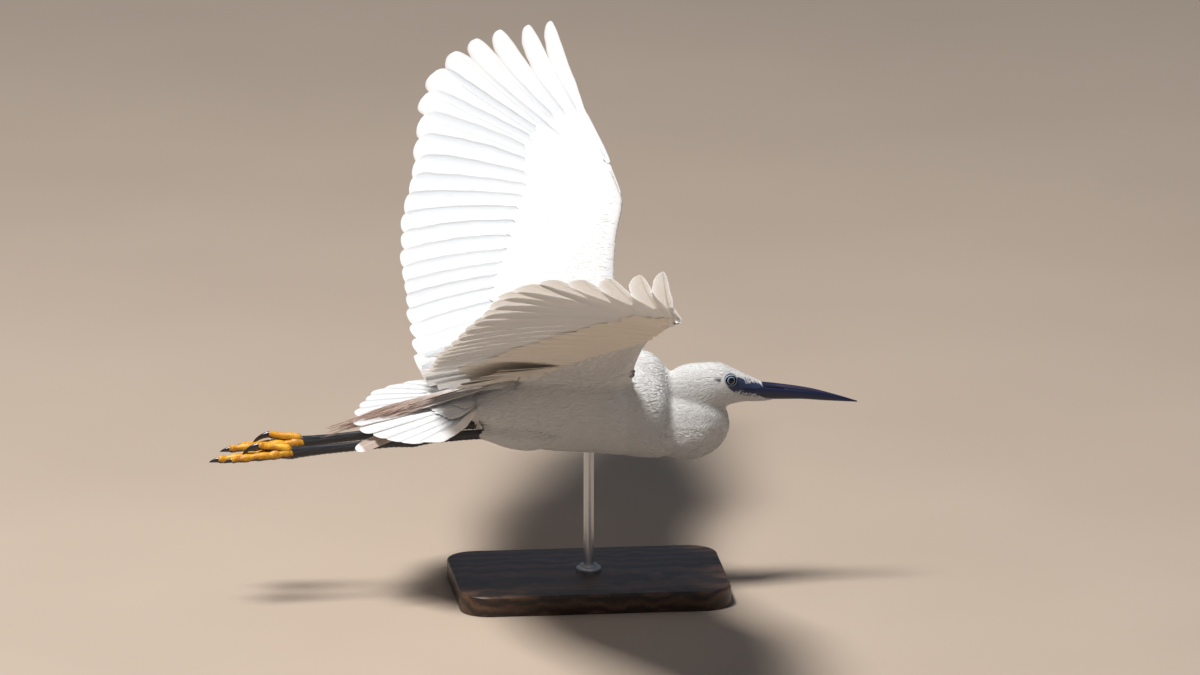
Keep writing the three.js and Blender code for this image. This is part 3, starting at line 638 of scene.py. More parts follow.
for upper, bill_name in ((True, "bill_upper"), (False, "bill_lower")):
    form = bill_half(upper)
    sheath, turned_over = tube_piece(bill_name + "_sheath", (form + BIRD)[None], horn)
    high = np.concatenate([1 - np.abs(np.linspace(-1, 1, SECTION_POINTS)), np.zeros(INNER_POINTS)])
    high = high * (1 if upper else 0.4)
    along = (form[:, :1, 0] - BILL_START) / BILL_LENGTH
    both = np.stack([along + 0 * high, high + 0 * along], axis=-1)
    paint_map(sheath, "sheath", as_turned(both[None], turned_over))
    sheath.data.set_sharp_from_angle(angle=1.0)
    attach(sheath, "root")
    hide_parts(bill_name)

# small feathers of body, neck and head
# Thin soft contour feathers over the whole skin, each rooted in it and lying towards the tail, so that
# each tip laps the roots behind it. They are long on the body and smallest on the face.
TUFT_STEPS = np.array([0.0, 0.36, 0.74, 1.0])
TUFT_WIDTHS = np.array([0.5, 1.0, 0.8, 0.06])
ROOT_DEPTH = 0.5
EDGE_DROOP = 0.04
PATCH = 0.003
WHITE = (0.90, 0.895, 0.88)
CREAM = (0.84, 0.825, 0.795)


def onto_skin(points):
    """The nearest points of the skin and its outward directions there, from two shrinkwraps 1 mm apart."""
    probe = put_mesh("probe", (points + BIRD) / 1000, [])
    wrap = probe.modifiers.new("on skin", "SHRINKWRAP")
    wrap.target = skin
    wrap.wrap_method = "NEAREST_SURFACEPOINT"
    wrap.wrap_mode = "ABOVE_SURFACE"
    layers = []
    for offset in (0.0, 0.001):
        wrap.offset = offset
        bpy.context.view_layer.update()
        real = probe.evaluated_get(bpy.context.evaluated_depsgraph_get()).data
        flat = np.empty(len(points) * 3)
        real.vertices.foreach_get("co", flat)
        layers.append(flat.reshape(-1, 3) * 1000 - BIRD)
    bpy.data.objects.remove(probe)
    return layers[0], unit(layers[1] - layers[0])


def scattered(chance, spacing, region, copies=1):
    """Roots over a region of the skin: its points, shaken a little, one kept in each cell of a 3-D grid."""
    points, normals = vertex_arrays(skin)
    keep = region(points, normals)
    points = np.repeat(points[keep], copies, axis=0)
    points = points + chance.uniform(-0.8, 0.8, points.shape)
    order = chance.permutation(len(points))
    cell = np.floor(points[order] / spacing + chance.random(3)).astype(int)
    _, first = np.unique(cell, axis=0, return_index=True)
    return points[order[first]]


def on_lie(lie, point, normal):
    """Which way the coat lies at points of the skin, its part square to the skin's normal."""
    heading = lie(point)
    return unit(heading - normal * (heading * normal).sum(-1, keepdims=True))


def tuft_rings(roots, lie, length, width, rise, thick, steps=TUFT_STEPS, widths=TUFT_WIDTHS):
    """Feathers that walk over the skin from their roots along its lie: at each step the nearest point of the
    skin is lifted by rise times the share of the way, and carries a flat roof of three points, width times
    the outline wide and thick at the ridge."""
    point, normal = onto_skin(roots)
    heading = on_lie(lie, point, normal)
    rings = []
    before = 0.0
    for step, outline in zip(steps, widths):
        if step > before:
            point, normal = onto_skin(point + heading * length[:, None] * (step - before))
            heading = on_lie(lie, point, normal)
            before = step
        across = np.cross(normal, heading)
        middle = point + normal * (rise[:, None] * step ** 0.9 - ROOT_DEPTH * (1 - step))
        half = width[:, None] / 2 * outline
        ridge = normal * (thick[:, None] * (1 - 0.7 * step))
        edge = middle - normal * half * EDGE_DROOP
        rings.append(np.stack([edge + across * half, middle + ridge, edge - across * half], axis=1))
    return np.stack(rings, axis=1)


def body_unwrap(roots):
    """Each root's place on the skin cut open: its angle round the body's own axis, and its place along it."""
    middle = (through(BACK)(roots[:, 0]) + through(BELLY)(roots[:, 0])) / 2
    return np.stack([
        np.arctan2(roots[:, 1], roots[:, 2] - middle) / (2 * np.pi) + 0.5, (roots[:, 0] + 160) / 320
    ], axis=-1)


def give_tones(piece, chance, count):
    """A random share for each of the feathers that make up a piece, as its attribute tone."""
    each = len(piece.data.vertices) // count
    tone = piece.data.attributes.new("tone", "FLOAT", "POINT")
    tone.data.foreach_set("value", np.repeat(chance.random(count), each).astype(np.float32))


def feather_coat(name, rings, unwrapped, finish, chance):
    """The tufts as one object, their edges sharp and their backs smooth. In OFBake each tuft is a patch 0.003
    across at its root's place; vane runs -1 to 1 across and 0 to 1 along it, and tone is a random share."""
    count, length, around = rings.shape[:3]
    piece, turned_over = tube_piece(name, rings + BIRD, finish)
    across = np.tile([1.0, 0.0, -1.0], (length, 1))
    along = np.tile(np.linspace(0, 1, length)[:, None], (1, around))
    vane = np.broadcast_to(np.stack([across, along], axis=-1), (count, length, around, 2))
    vane = as_turned(vane, turned_over)
    own_patch = (vane * [0.5, 1] - [0, 0.5]) * PATCH
    paint_map(piece, "OFBake", unwrapped[:, None, None] + own_patch)
    paint_map(piece, "vane", vane)
    give_tones(piece, chance, count)
    ends = np.empty(len(piece.data.edges) * 2, int)
    piece.data.edges.foreach_get("vertices", ends)
    first, last = ends.reshape(-1, 2).T
    on_rim = (first % around % 2 == 0) & (last % around % 2 == 0) & (np.abs(last - first) >= around)
    piece.data.attributes.new("sharp_edge", "BOOLEAN", "EDGE").data.foreach_set("value", on_rim)
    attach(piece, "root")
    return piece


def white_feather(name, light, shade, barb_scale, strength):
    """White plumage: two whites mixed by each feather's tone and by streaks along the barbs, which slant
    from the shaft to the edge; the same streaks make the relief."""
    material = new_finish(
        name, Roughness=0.78, Sheen_Weight=0.25, Sheen_Roughness=0.4, Specular_IOR_Level=0.25,
        Subsurface_Weight=0.3, Subsurface_Radius=(0.0035, 0.003, 0.0025), Subsurface_Scale=1.0,
    )
    _, across, along = own_map(material, "vane")
    slant = reckon(material, "MULTIPLY_ADD", reckon(material, "ABSOLUTE", across), -0.35, along)
    own = add_node(material, "ShaderNodeAttribute", attribute_name="tone").outputs["Fac"]
    barb = add_node(material, "ShaderNodeCombineXYZ", [("X", across), ("Y", slant), ("Z", own)])
    streak = noise(material, barb.outputs[0], 3.0, barb_scale)
    both = reckon(material, "MULTIPLY", own, streak)
    paint(material, color_steps(material, both, [(0.0, light), (0.25, light), (0.8, shade)]))
    emboss(material, streak, strength, 0.0006)
    return material


def color_so_far(material):
    """The output that colours a material now."""
    return surface(material)["Base Color"].links[0].from_socket


def lie_of_coat(points):
    """Which way the coat lies: to the tail everywhere, sloping down on the cheeks and over the front of the
    folded neck, and up over the lores to the crown."""
    x, y, z = points.T
    cheek = window(x, 66, 112, 14) * window(z, -14, 14, 8) * 0.42
    front = np.clip((x - 88) / 22, 0, 1) * np.clip((-4 - z) / 10, 0, 1)
    forehead = np.clip((x - 112) / 8, 0, 1) * np.clip((z - 9) / 4, 0, 1)
    down = cheek + 1.6 * front + 0.08 - 0.6 * forehead
    return unit(np.stack([-(1 - 0.55 * front), 0 * y, -down], axis=-1))


FOREHEAD_EDGE = [[126, 8.5], [129, 11], [133.5, 12.3], [142, 11.2]]
CHIN_EDGE = [[126, 9.2], [131, 8.2], [135, 5.0], [139, 4.0], [143, 2.2], [150, -0.8], [157, -3.6]]
LORE_TOP = [[113, 21.5], [117, 21.5], [121, 19.6], [124.6, 17.7], [129.5, 14.9], [131.4, 11.6], [135, 11.6]]
LORE_FOOT = [[113, 10.0], [115, 8.6], [127, 8.2], [135, 8.2]]
EYE_CLEARING = 6.1


def bare_face(points):
    """Whether a root would stand on the bare lores, on the eye or where the horn of the bill shows: the horn
    lies between two edges, under the forehead's feathers and over the chin's."""
    x, y, z = points.T
    eye = np.hypot(x - EYE_MIDDLE[0] - 0.5, z - EYE_MIDDLE[2]) < EYE_CLEARING
    lores = (z < through(LORE_TOP)(x)) & (z > through(LORE_FOOT)(x)) & (x > 113) & (x < 134.5)
    horn_side = (x > 127) & (z > through(CHIN_EDGE)(x)) & ((z < through(FOREHEAD_EDGE)(x)) | (x > 142))
    return (eye | lores | horn_side) & (np.abs(y) > 2)


body_white = white_feather("soft_white_body_feather", WHITE, CREAM, (5.0, 2.0, 20.0), 0.25)

head_white = white_feather("soft_white_head_feather", WHITE, CREAM, (5.0, 2.0, 20.0), 0.2)
# A small grey-blue streak on the white head feathers just behind the eye: painted shade where the feathers
# part there.
painted_shade_behind_eye = color_steps(
    head_white, in_ellipse(head_white, 0.1160, 0.1922, 0.12, 0.0080, 0.0024),
    [(0.45, (0.15, 0.16, 0.22)), (1.0, (1, 1, 1))],
)
paint(head_white, blend(head_white, 1.0, color_so_far(head_white), painted_shade_behind_eye, "MULTIPLY"))

COATS = (
    ("coat_body_left", 2.35, 2, lambda p, n: (p[:, 0] < 32) & (p[:, 1] > 0) & (on_wing(p) < 0.5),
     24.0, 3.1, 0.9, 0.15, body_white),
    ("coat_body_right", 2.35, 2, lambda p, n: (p[:, 0] < 32) & (p[:, 1] <= 0) & (on_wing(p) < 0.5),
     24.0, 3.1, 0.9, 0.15, body_white),
    ("coat_neck", 1.95, 2,
     lambda p, n: (p[:, 0] >= 20) & (on_wing(p) < 0.4) & ((p[:, 0] < 64) | (p[:, 2] < -12)),
     19.0, 2.2, 0.5, 0.08, body_white),
    ("coat_head", 1.2, 3, lambda p, n: (p[:, 0] >= 62) & (p[:, 2] > -22), 9.5, 1.45, 0.75, 0.11, head_white),
)
chance = np.random.default_rng(11)
for coat_name, spacing, copies, region, longest, widest, lift, thickness, finish in COATS:
    roots = scattered(chance, spacing, region, copies)
    roots = roots[~bare_face(roots)]
    face = on_face(roots)
    each = len(roots)
    shorter = 1 - 0.55 * face
    length = longest * shorter * chance.uniform(0.8, 1.15, each)
    width = widest * shorter * chance.uniform(0.75, 1.2, each)
    rise = lift * (1 - 0.3 * face) * chance.uniform(0.85, 1.05, each)
    rings = tuft_rings(roots, lie_of_coat, length, width, rise, thickness * shorter)
    feather_coat(coat_name, rings, body_unwrap(roots), finish, chance)

# flight feathers and great coverts of the wings
# Ten primaries and fifteen secondaries and tertials a wing, long stiff vanes with a tapering shaft, each
# lapping the next one outward. Rows of coverts above and below hide their roots in the arm.
ROOT_Y = [[0, 277], [9, 216], [10, 208], [18, 108], [21, 50], [24, 20]]
TIP_X = [[0, 5], [1, -15], [2, -41], [3, -64], [4, -85], [6, -117], [9, -137], [11, -149], [14, -159],
         [21, -160], [22, -155], [23, -146], [24, -134]]
TIP_Y = [[0, 447], [1, 447.5], [2, 443], [3, 431], [4, 406], [5, 380], [7, 323], [9, 269], [12, 209],
         [15, 141], [18, 88], [21, 20], [24, 10]]
TIP_Z = [[0, 232], [3, 223], [4, 217], [6, 193], [9, 147], [12, 111], [15, 80], [18, 56], [20, 41], [21, 32],
         [22, 26], [23, 21.5], [24, 18]]
CURL = [[0, 0.25], [4, 0.18], [8, 0.03], [10, 0]]
CURL_POWER = 3
BOW = [[0, 2], [8, 5], [12, 7], [21, 4], [24, 3]]
FLIGHT_WIDTH = [[0, 23], [1, 28], [3, 34], [5, 41], [8, 43], [12, 37], [14, 35], [21, 34], [24, 30]]
BLADE = [[0, .3], [.14, .72], [.4, 1], [.72, .99], [.88, .95], [1, .88]]
FINGER = [[0, .3], [.14, .7], [.38, 1], [.56, .95], [.7, .74], [.86, .64], [1, .5]]
UNDER_END = [[0, .2], [9, .28], [12, .38], [16, .54], [21, .66], [24, .6]]
COVERT_START = [[0, .01], [9, -.01], [12, -.05], [18, -.06]]
UNDER_START = [[0, .06], [8, .03], [11, -.03], [14, -.1], [24, -.14]]
COVERT = [[0, .35], [.3, .95], [.55, 1], [.86, .86], [1, .6]]
ACROSS = np.array([1, .8, .56, .3])


def fan(number, share):
    """The line of a wing feather's shaft. number counts the feathers from the outermost primary inwards and
    share runs from root to tip: a straight line in plan, with outer tips curled up and a slight bow."""
    y = through(ROOT_Y)(number)
    bent = mix(share, np.sign(share) * np.abs(share) ** CURL_POWER, through(CURL)(number))
    x = mix(through(ROOT_X)(y), through(TIP_X)(number), share)
    z = mix(through(ROOT_Z)(y), through(TIP_Z)(number), bent)
    z = z + through(BOW)(number) * 4 * np.maximum(0, share * (1 - share))
    return np.stack([x, mix(y, through(TIP_Y)(number), share), z], axis=-1)


def vane_rings(shaft, across, up, ahead, behind, lift, slope, thick, quill):
    """Closed sections down each feather: the vane, ahead and behind wide on the two sides of its shaft, is a
    thin lens that slopes up towards its leading edge, and the quill stands out above and more below it."""
    root = np.minimum(quill / np.maximum(ahead, 0.5), 0.28)[..., None]
    side = np.concatenate([
        ACROSS + 0 * root, root, 0.45 * root, 0 * root, -0.45 * root, -root, -ACROSS[::-1] + 0 * root
    ], axis=-1)
    half = np.where(side > 0, ahead[..., None], behind[..., None])
    swell = thick[..., None] / 2 * (1 - 0.85 * side ** 2)
    bead = quill[..., None] * np.sqrt(np.maximum(0, 1 - (side / root) ** 2))
    camber = -0.05 * half * side ** 2
    height = lift[..., None] + slope * side * half + camber
    over = height + swell + 0.45 * bead
    under = height - swell - 0.9 * bead
    side = np.concatenate([side, side[..., -2:0:-1]], axis=-1)
    half = np.concatenate([half, half[..., -2:0:-1]], axis=-1)
    height = np.concatenate([over, under[..., -2:0:-1]], axis=-1)
    aside = across[..., None, :] * (side * half)[..., None]
    rings = shaft[..., None, :] + aside + up[..., None, :] * height[..., None]
    return rings, side


def feather_vanes(name, rings, side, share, finish, chance):
    """Whole feathers as one object. In OFBake each has a strip of its own; vane holds the place across and
    along it, and tone a random share a feather."""
    count = len(rings)
    piece, turned_over = tube_piece(name, rings + BIRD, finish)
    along = np.broadcast_to(share[:, :, None], side.shape)
    vane = np.stack([side, along], axis=-1)
    vane = as_turned(vane, turned_over)
    strip = (np.arange(count)[:, None, None] + 0.5 + 0.45 * vane[..., 0]) / count
    down_strip = 0.02 + 0.96 * np.clip(vane[..., 1], 0, 1)
    paint_map(piece, "OFBake", np.stack([strip, down_strip], axis=-1))
    paint_map(piece, "vane", vane)
    give_tones(piece, chance, count)
    piece.data.set_sharp_from_angle(angle=1.2)
    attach(piece, "root")
    return piece


def long_feather_finish(name, light, shade, quill, barb_scale, strength):
    """The white of a long feather: the small feathers' streaks along the barbs, with the horn-coloured quill
    down the middle."""
    material = white_feather(name, light, shade, barb_scale, strength)
    _, across, _ = own_map(material, "vane")
    on_quill = color_steps(
        material, reckon(material, "ABSOLUTE", across), [(0.03, (1, 1, 1)), (0.055, (0, 0, 0))]
    )
    paint(material, blend(material, on_quill, color_so_far(material), (*quill, 1)))
    return material


def tapering_steps(count):
    """Shares of the way from root to tip, closer together at the rounded tip."""
    t = np.linspace(0, 1, count)
    return 1 - (1 - t) ** 1.7


def rounded_tip(share, start):
    """1 up to start, then a quarter ellipse down to a blunt 0.12 at the tip."""
    past = np.clip((share - start) / (1 - start), 0, 1)
    return 0.12 + 0.88 * np.sqrt(np.maximum(0, 1 - past ** 2.2))


def square_to(way, axis):
    """The part of a direction w that is square to another, a: w less a times (w . a) / (a . a)."""
    return way - axis * ((way * axis).sum(-1) / (axis * axis).sum(-1))[..., None]


def wing_row(
    side, numbers, start, end, steps, every, wide, outline, lift, quill, chance, tip_from=0.9, vary=0.015
):
    """A row of wing feathers along the fan, from start to end of its lines. Across is the way to the next
    feather outward, square to the shaft; each slopes 1 mm up over the space to its neighbour,
    and lift fades in from the root, or out to the tip under the wing."""
    numbers = np.asarray(numbers, float)[:, None]
    way = tapering_steps(steps)[None]
    start, end = [np.broadcast_to(np.asarray(v, float).reshape(-1, 1), numbers.shape) for v in (start, end)]
    share = mix(start, end * chance.uniform(1 - vary, 1 + vary, numbers.shape), way)
    shaft = fan(numbers, share)
    gap = fan(numbers - 0.5, share) - fan(numbers + 0.5, share)
    step = fan(numbers, share + 0.01) - fan(numbers, share - 0.01)
    gap = square_to(gap, step)
    spacing = np.linalg.norm(gap, axis=-1) * every
    across = unit(gap)
    up = unit(np.cross(across, step))
    outer = np.clip((9.5 - numbers) / 6, 0, 1)
    half = wide / 2 * outline(way) * rounded_tip(way, tip_from)
    fray = 1 + 0.035 * np.sin(way * 61 + 9 * numbers) * np.sin(way * 23 + 5 * numbers)
    thick = mix(0.5, 0.3, way) + 0 * numbers
    quills = quill * (1 - 0.85 * way) + 0 * numbers
    ahead = np.minimum(half * mix(1, 0.5, outer), spacing * 0.82) * fray
    behind = np.minimum(half * mix(1, 1.45, outer), spacing * mix(0.82, 1.7, outer)) * fray
    slope = (1.0 / spacing)[..., None]
    fade = 0.35 + 0.65 * np.minimum(1, 4 * way) if lift >= 0 else 1 - 0.55 * way
    lift = lift * fade * mix(1, 0.6, outer)
    rings, place = vane_rings(
        shaft, across, up, ahead, behind, lift + 0 * share, slope, thick, quills
    )
    return rings * [1, side, 1], place, np.broadcast_to(way, share.shape)


LONG_BARBS = (3.0, 46.0, 9.0)
SHORT_BARBS = (3.0, 22.0, 9.0)
long_white = long_feather_finish(
    "white_flight_feather", (0.88, 0.87, 0.855), (0.80, 0.785, 0.765), (0.80, 0.765, 0.71), LONG_BARBS, 0.3
)
surface(long_white)["Subsurface Weight"].default_value = 0.6
covert_white = long_feather_finish("white_wing_covert", WHITE, CREAM, (0.88, 0.865, 0.84), SHORT_BARBS, 0.25)
# The under coverts and axillaries are white feathers; their warm buff colour is painted shade and warm light
# thrown up from the ground under the wing.
underside_painted_warm_shade = long_feather_finish(
    "under_covert_painted_warm_shade", (0.82, 0.745, 0.64), (0.74, 0.65, 0.53), (0.72, 0.63, 0.52), SHORT_BARBS, 0.25
)
covert_outline = through(COVERT)

for side, side_name in SIDES:
    chance = np.random.default_rng(20 + side)
    numbers = np.arange(25.0)
    fingered = np.clip((4.5 - numbers) / 3, 0, 1)[:, None]
    flight = feather_vanes("flight_feathers_" + side_name, *wing_row(
        side, numbers, -0.02, 1.0, steps=36, every=1, wide=through(FLIGHT_WIDTH)(numbers)[:, None],
        outline=lambda way: mix(through(BLADE)(way), through(FINGER)(way), fingered), lift=0.0, quill=1.15,
        chance=chance, tip_from=np.where(numbers < 5, 0.9, 0.94)[:, None], vary=0.006,
    ), long_white, chance)
    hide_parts("wing_" + side_name + "_hand", "wing_" + side_name + "_arm")

    greater = wing_row(
        side, numbers, through(COVERT_START)(numbers), 0.45, steps=20, every=1, wide=27,
        outline=covert_outline, lift=1.6, quill=0.6, chance=chance, tip_from=0.8,
    )
    feather_vanes("greater_coverts_" + side_name, *greater, covert_white, chance)
    closer = np.arange(0, 24.5, 0.7)
    median = wing_row(
        side, closer, through(COVERT_START)(closer) * 1.6, 0.27, steps=16, every=0.9, wide=20,
        outline=covert_outline, lift=2.9, quill=0.35, chance=chance, tip_from=0.75,
    )
    feather_vanes("median_coverts_" + side_name, *median, covert_white, chance)
    under = wing_row(
        side, numbers, through(UNDER_START)(numbers), through(UNDER_END)(numbers), steps=22, every=1, wide=26,
        outline=covert_outline, lift=-2.7, quill=0.4, chance=chance, tip_from=0.8, vary=0.08,
    )
    # Under coverts in the painted warm shade of the wing's underside.
    feather_vanes("under_coverts_" + side_name, *under, underside_painted_warm_shade, chance)

# axillaries and edge feathers
# A fan of long soft feathers from the pit of each wing, lying back under the innermost wing feathers, and
# short stiff feathers along the front edge of the hand, the bastard wing first. Two small quills stand
# before the outermost primary.
AXILLARIES = 8
EDGE_ROOTS = np.array([208.0, 217, 226, 235, 244, 253])
EDGE_TIPS = np.array([242.0, 250, 258, 266, 274, 281])
REMICLE_ROOTS = np.array([[39.5, 281, 143.5], [38.5, 280, 143.0]])
REMICLE_TIPS = np.array([[23.5, 350.0, 173.8], [27.0, 326.0, 162.6]])


def straight_feathers(roots, tips, sag, half, face):
    """Feathers on straight lines from roots to tips, bowed up by sag times 4 s (1 - s), half as wide as half
    says on both sides of the shaft, their upper face towards face."""
    way = tapering_steps(28)[None]
    shaft = roots[:, None] + (tips - roots)[:, None] * way[..., None]
    shaft[..., 2] += sag * 4 * way * (1 - way)
    along = np.gradient(shaft, axis=1)
    across = unit(np.cross(along, face))
    half = half * through(BLADE)(way) * rounded_tip(way, 0.88) + np.zeros((len(roots), 1))
    rings, place = vane_rings(
        shaft, across, unit(np.cross(across, along)), half, half, 0 * half, np.zeros(half.shape + (1,)),
        mix(0.45, 0.3, way) + 0 * half, 0.6 * (1 - 0.85 * way) + 0 * half,
    )
    return rings, place, np.broadcast_to(way, half.shape)


for side, side_name in SIDES:
    chance = np.random.default_rng(30 + side)
    f = np.linspace(0, 1, AXILLARIES)
    roots = np.stack([mix(-28, -60, f), side * mix(58, 38, f), mix(48, 38, f)], axis=-1)
    tips = np.stack([mix(-96, -130, f), side * mix(58, 30, f), mix(44, 23, f)], axis=-1)
    tips = tips + chance.uniform(-2, 2, tips.shape) * [1, 1, 0.2]
    vanes = straight_feathers(roots, tips, -1.0, 9.0, [0.05, -0.45 * side, 1.0])
    # Axillaries in the same painted warm shade.
    feather_vanes("axillaries_" + side_name, *vanes, underside_painted_warm_shade, chance)

    roots, tips = [
        np.stack([through(EDGE_X)(y) - back, side * y, through(EDGE_Z)(y) + 0.6], axis=-1)
        for y, back in ((EDGE_ROOTS, 4.6), (EDGE_TIPS, 3.3))
    ]
    vanes = straight_feathers(roots, tips, 0.4, 3.7, [0.1, -0.3 * side, 1.0])
    feather_vanes("edge_feathers_" + side_name, *vanes, covert_white, chance)
    ends = [points * [1, side, 1] for points in (REMICLE_ROOTS, REMICLE_TIPS)]
    vanes = straight_feathers(*ends, -0.8, 2.9, [0.0, -0.47 * side, 0.87])
    feather_vanes("outermost_small_quills_" + side_name, *vanes, long_white, chance)

# small coverts of the wings
# Rows of small soft feathers over the arm of each wing, above and below, running from the leading edge
# back on to the larger coverts.


def lie_of_wing(points):
    """Back along the flight feathers that are rooted at the same place along the span."""
    y = points[:, 1]
    number = np.interp(np.abs(y), *np.array(ROOT_Y[::-1], float)[:, ::-1].T)
    way = fan(number, 0 * number + 0.5) - fan(number, 0 * number)
    return unit(way * np.stack([1 + 0 * y, np.sign(y) * 0.8, 1 + 0 * y], axis=-1))


small_covert_steps = np.array([0.0, 0.3, 0.6, 0.86, 1.0])
small_covert_widths = np.array([0.5, 0.95, 1.0, 0.7, 0.15])
for side, side_name in SIDES:
    chance = np.random.default_rng(40 + side)
    roots = scattered(
        chance, 2.8, lambda p, n: (on_wing(p) > 0.25) & (p[:, 1] * side > 0) & (np.abs(p[:, 1]) < 258), 1
    )
    out = np.abs(roots[:, 1])
    to_rear = roots[:, 0] - through(ROOT_X)(out) + through(ARM_BEHIND)(out)
    roots, out, to_rear = roots[to_rear > 6], out[to_rear > 6], to_rear[to_rear > 6]
    each = len(roots)
    outer = np.clip((out - 60) / 220, 0, 1)
    back = np.clip((through(EDGE_X)(out) - roots[:, 0]) / 55, 0, 1)
    length = np.minimum(mix(14, 24, back) * mix(1, 0.75, outer) * chance.uniform(0.85, 1.15, each), to_rear)
    width = mix(3.4, 5.4, back) * mix(1, 0.75, outer) * chance.uniform(0.85, 1.1, each)
    rise = mix(0.8, 1.2, back) * mix(1, 0.7, outer) * chance.uniform(0.85, 1.05, each)
    rings = tuft_rings(
        roots, lie_of_wing, length, width, rise, 0.18 + 0 * rise, small_covert_steps, small_covert_widths
    )
    unwrapped = np.stack([
        0.5 + np.sign(roots[:, 2] - through(ROOT_Z)(np.abs(roots[:, 1]))) * (0.05 + back * 0.4),
        np.abs(roots[:, 1]) / 300,
    ], axis=-1)
    feather_coat("small_wing_coverts_" + side_name, rings, unwrapped, body_white, chance)

# tail
# Twelve broad rectrices in an open fan, the middle pair on top, with rows of soft coverts over and under
# their roots. One loose feather hangs under the near half.
TAIL_ROOT = (-104.0, 7.5)
TAIL_LENGTH = 115.0
TAIL_OUTER = 106.0
TAIL_SPREAD = 1.0
TAIL_SLOPE = 0.17
TAIL_ROLL = 0.13
TAIL_DROP = 1.3


def tail_height(x, y):
    """The fan's sheet: sloping down to the rear and rolled about its middle line."""
    return TAIL_ROOT[1] + TAIL_SLOPE * (x - TAIL_ROOT[0]) + TAIL_ROLL * y * (1 - 0.8 * (y / 100) ** 2)


def tail_fan(angle, share):
    """The shaft of a tail feather that leaves the root at an angle, bowed by 3 mm times 4 s (1 - s)."""
    away = np.abs(angle) / TAIL_SPREAD
    reach = 8 + share * (mix(TAIL_LENGTH, TAIL_OUTER, away) - 8)
    x, y = TAIL_ROOT[0] - reach * np.cos(angle), reach * np.sin(angle)
    z = tail_height(x, y) + 3 * share * (1 - share) + TAIL_DROP * (2.5 - 5.5 * away - 0.4 * (angle < 0))
    return np.stack([x, y, z], axis=-1)


def tail_row(angles, start, end, steps, wide, outline, lift, quill, chance, tip_from):
    """A row of feathers along the fan of the tail; across is the way the fan opens, square to the shaft."""
    angles = np.asarray(angles, float)[:, None]
    way = tapering_steps(steps)[None]
    share = mix(start, end * chance.uniform(0.97, 1.02, angles.shape), way)
    shaft = tail_fan(angles, share)
    outward = np.sign(angles)[..., None]
    gap = (tail_fan(angles + 0.045, share) - tail_fan(angles - 0.045, share)) * outward
    gap[..., 2] *= 0.5
    step = tail_fan(angles, share + 0.01) - tail_fan(angles, share - 0.01)
    gap = square_to(gap, step)
    across = unit(gap)
    up = unit(np.cross(across, step) * outward)
    half = wide / 2 * outline(way) * rounded_tip(way, tip_from) * (0.35 + 0.65 * np.clip(share / 0.5, 0, 1))
    fray = 1 + 0.03 * np.sin(way * 47 + 31 * angles) * np.sin(way * 19 + 17 * angles)
    rings, place = vane_rings(
        shaft, across, up, half * 0.9 * fray, half * 1.06 * fray, lift + 0 * share,
        np.full(share.shape + (1,), 0.03),
        mix(0.5, 0.3, way) + 0 * angles, quill * (1 - 0.85 * way) + 0 * angles,
    )
    return rings, place, np.broadcast_to(way, share.shape)


chance = np.random.default_rng(60)
tail_angles = TAIL_SPREAD * (np.arange(6) + 0.5) / 5.5
tail_angles = np.concatenate([tail_angles, -tail_angles])
tail = feather_vanes("tail_feathers", *tail_row(
    tail_angles, -0.02, 1.0, steps=32, wide=27, outline=through(BLADE), lift=0.0, quill=1.0, chance=chance,
    tip_from=0.93,
), long_white, chance)
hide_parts("tail")

# The loose feather is white: its grey-brown is painted shade, and its white tip is painted light where the
# light falls on it.
loose_feather_painted_shade = long_feather_finish(
    "loose_feather_painted_shade_lit_tip", (0.42, 0.33, 0.285), (0.32, 0.245, 0.205), (0.62, 0.54, 0.48), LONG_BARBS, 0.3
)
_, _, along = own_map(loose_feather_painted_shade, "vane")
painted_lit_tip = color_steps(loose_feather_painted_shade, along, [(0.93, (0, 0, 0)), (0.965, (1, 1, 1))])
paint(loose_feather_painted_shade, blend(loose_feather_painted_shade, painted_lit_tip, color_so_far(loose_feather_painted_shade), (*WHITE, 1)))
vanes = straight_feathers(
    np.array([[-128.0, -20.0, -4.0]]), np.array([[-220.5, -44.0, -27.5]]), 3.0, 8.2, [0, -0.35, 1.0]
)
feather_vanes("loose_tail_feather", *vanes, loose_feather_painted_shade, chance)
covert_angles = np.linspace(0.06, 0.86, 8)
covert_angles = np.concatenate([covert_angles, -covert_angles])
tail_coverts = [
    tail_row(covert_angles, -0.25, end, 18, wide, covert_outline, lift, 0.4, chance, 0.78)
    for end, wide, lift in ((0.42, 22, 2.4), (0.24, 20, 4.2), (0.46, 22, -2.6), (0.27, 20, -4.6))
]
feather_vanes(
    "tail_coverts", *[np.concatenate(parts) for parts in zip(*tail_coverts)], covert_white, chance
)

# scapulars
# Long soft feathers of the shoulders, lying back in a loose fan over the roots of the plumes and of the
# innermost wing feathers.
chance = np.random.default_rng(65)
roots = scattered(
    chance, 7.0, lambda p, n: (p[:, 0] > -52) & (p[:, 0] < 6) & (np.abs(p[:, 1]) > 3) & (np.abs(p[:, 1]) < 24)
    & (n[:, 2] > 0.6) & (p[:, 2] > 22)
)
each = len(roots)
scapular_steps = np.array([0, .14, .3, .46, .62, .78, .91, 1])
scapular_widths = np.array([.4, .8, 1, 1, .92, .75, .5, .1])
rings = tuft_rings(
    roots, lambda p: unit(np.stack([-1 + 0 * p[:, 0], -0.004 * p[:, 1], -0.1 + 0 * p[:, 0]], axis=-1)),
    chance.uniform(58, 76, each), chance.uniform(11, 14, each), chance.uniform(4.5, 7, each),
    np.full(each, 0.5), scapular_steps, scapular_widths,
)
feather_coat("scapulars", rings, body_unwrap(roots), covert_white, chance)

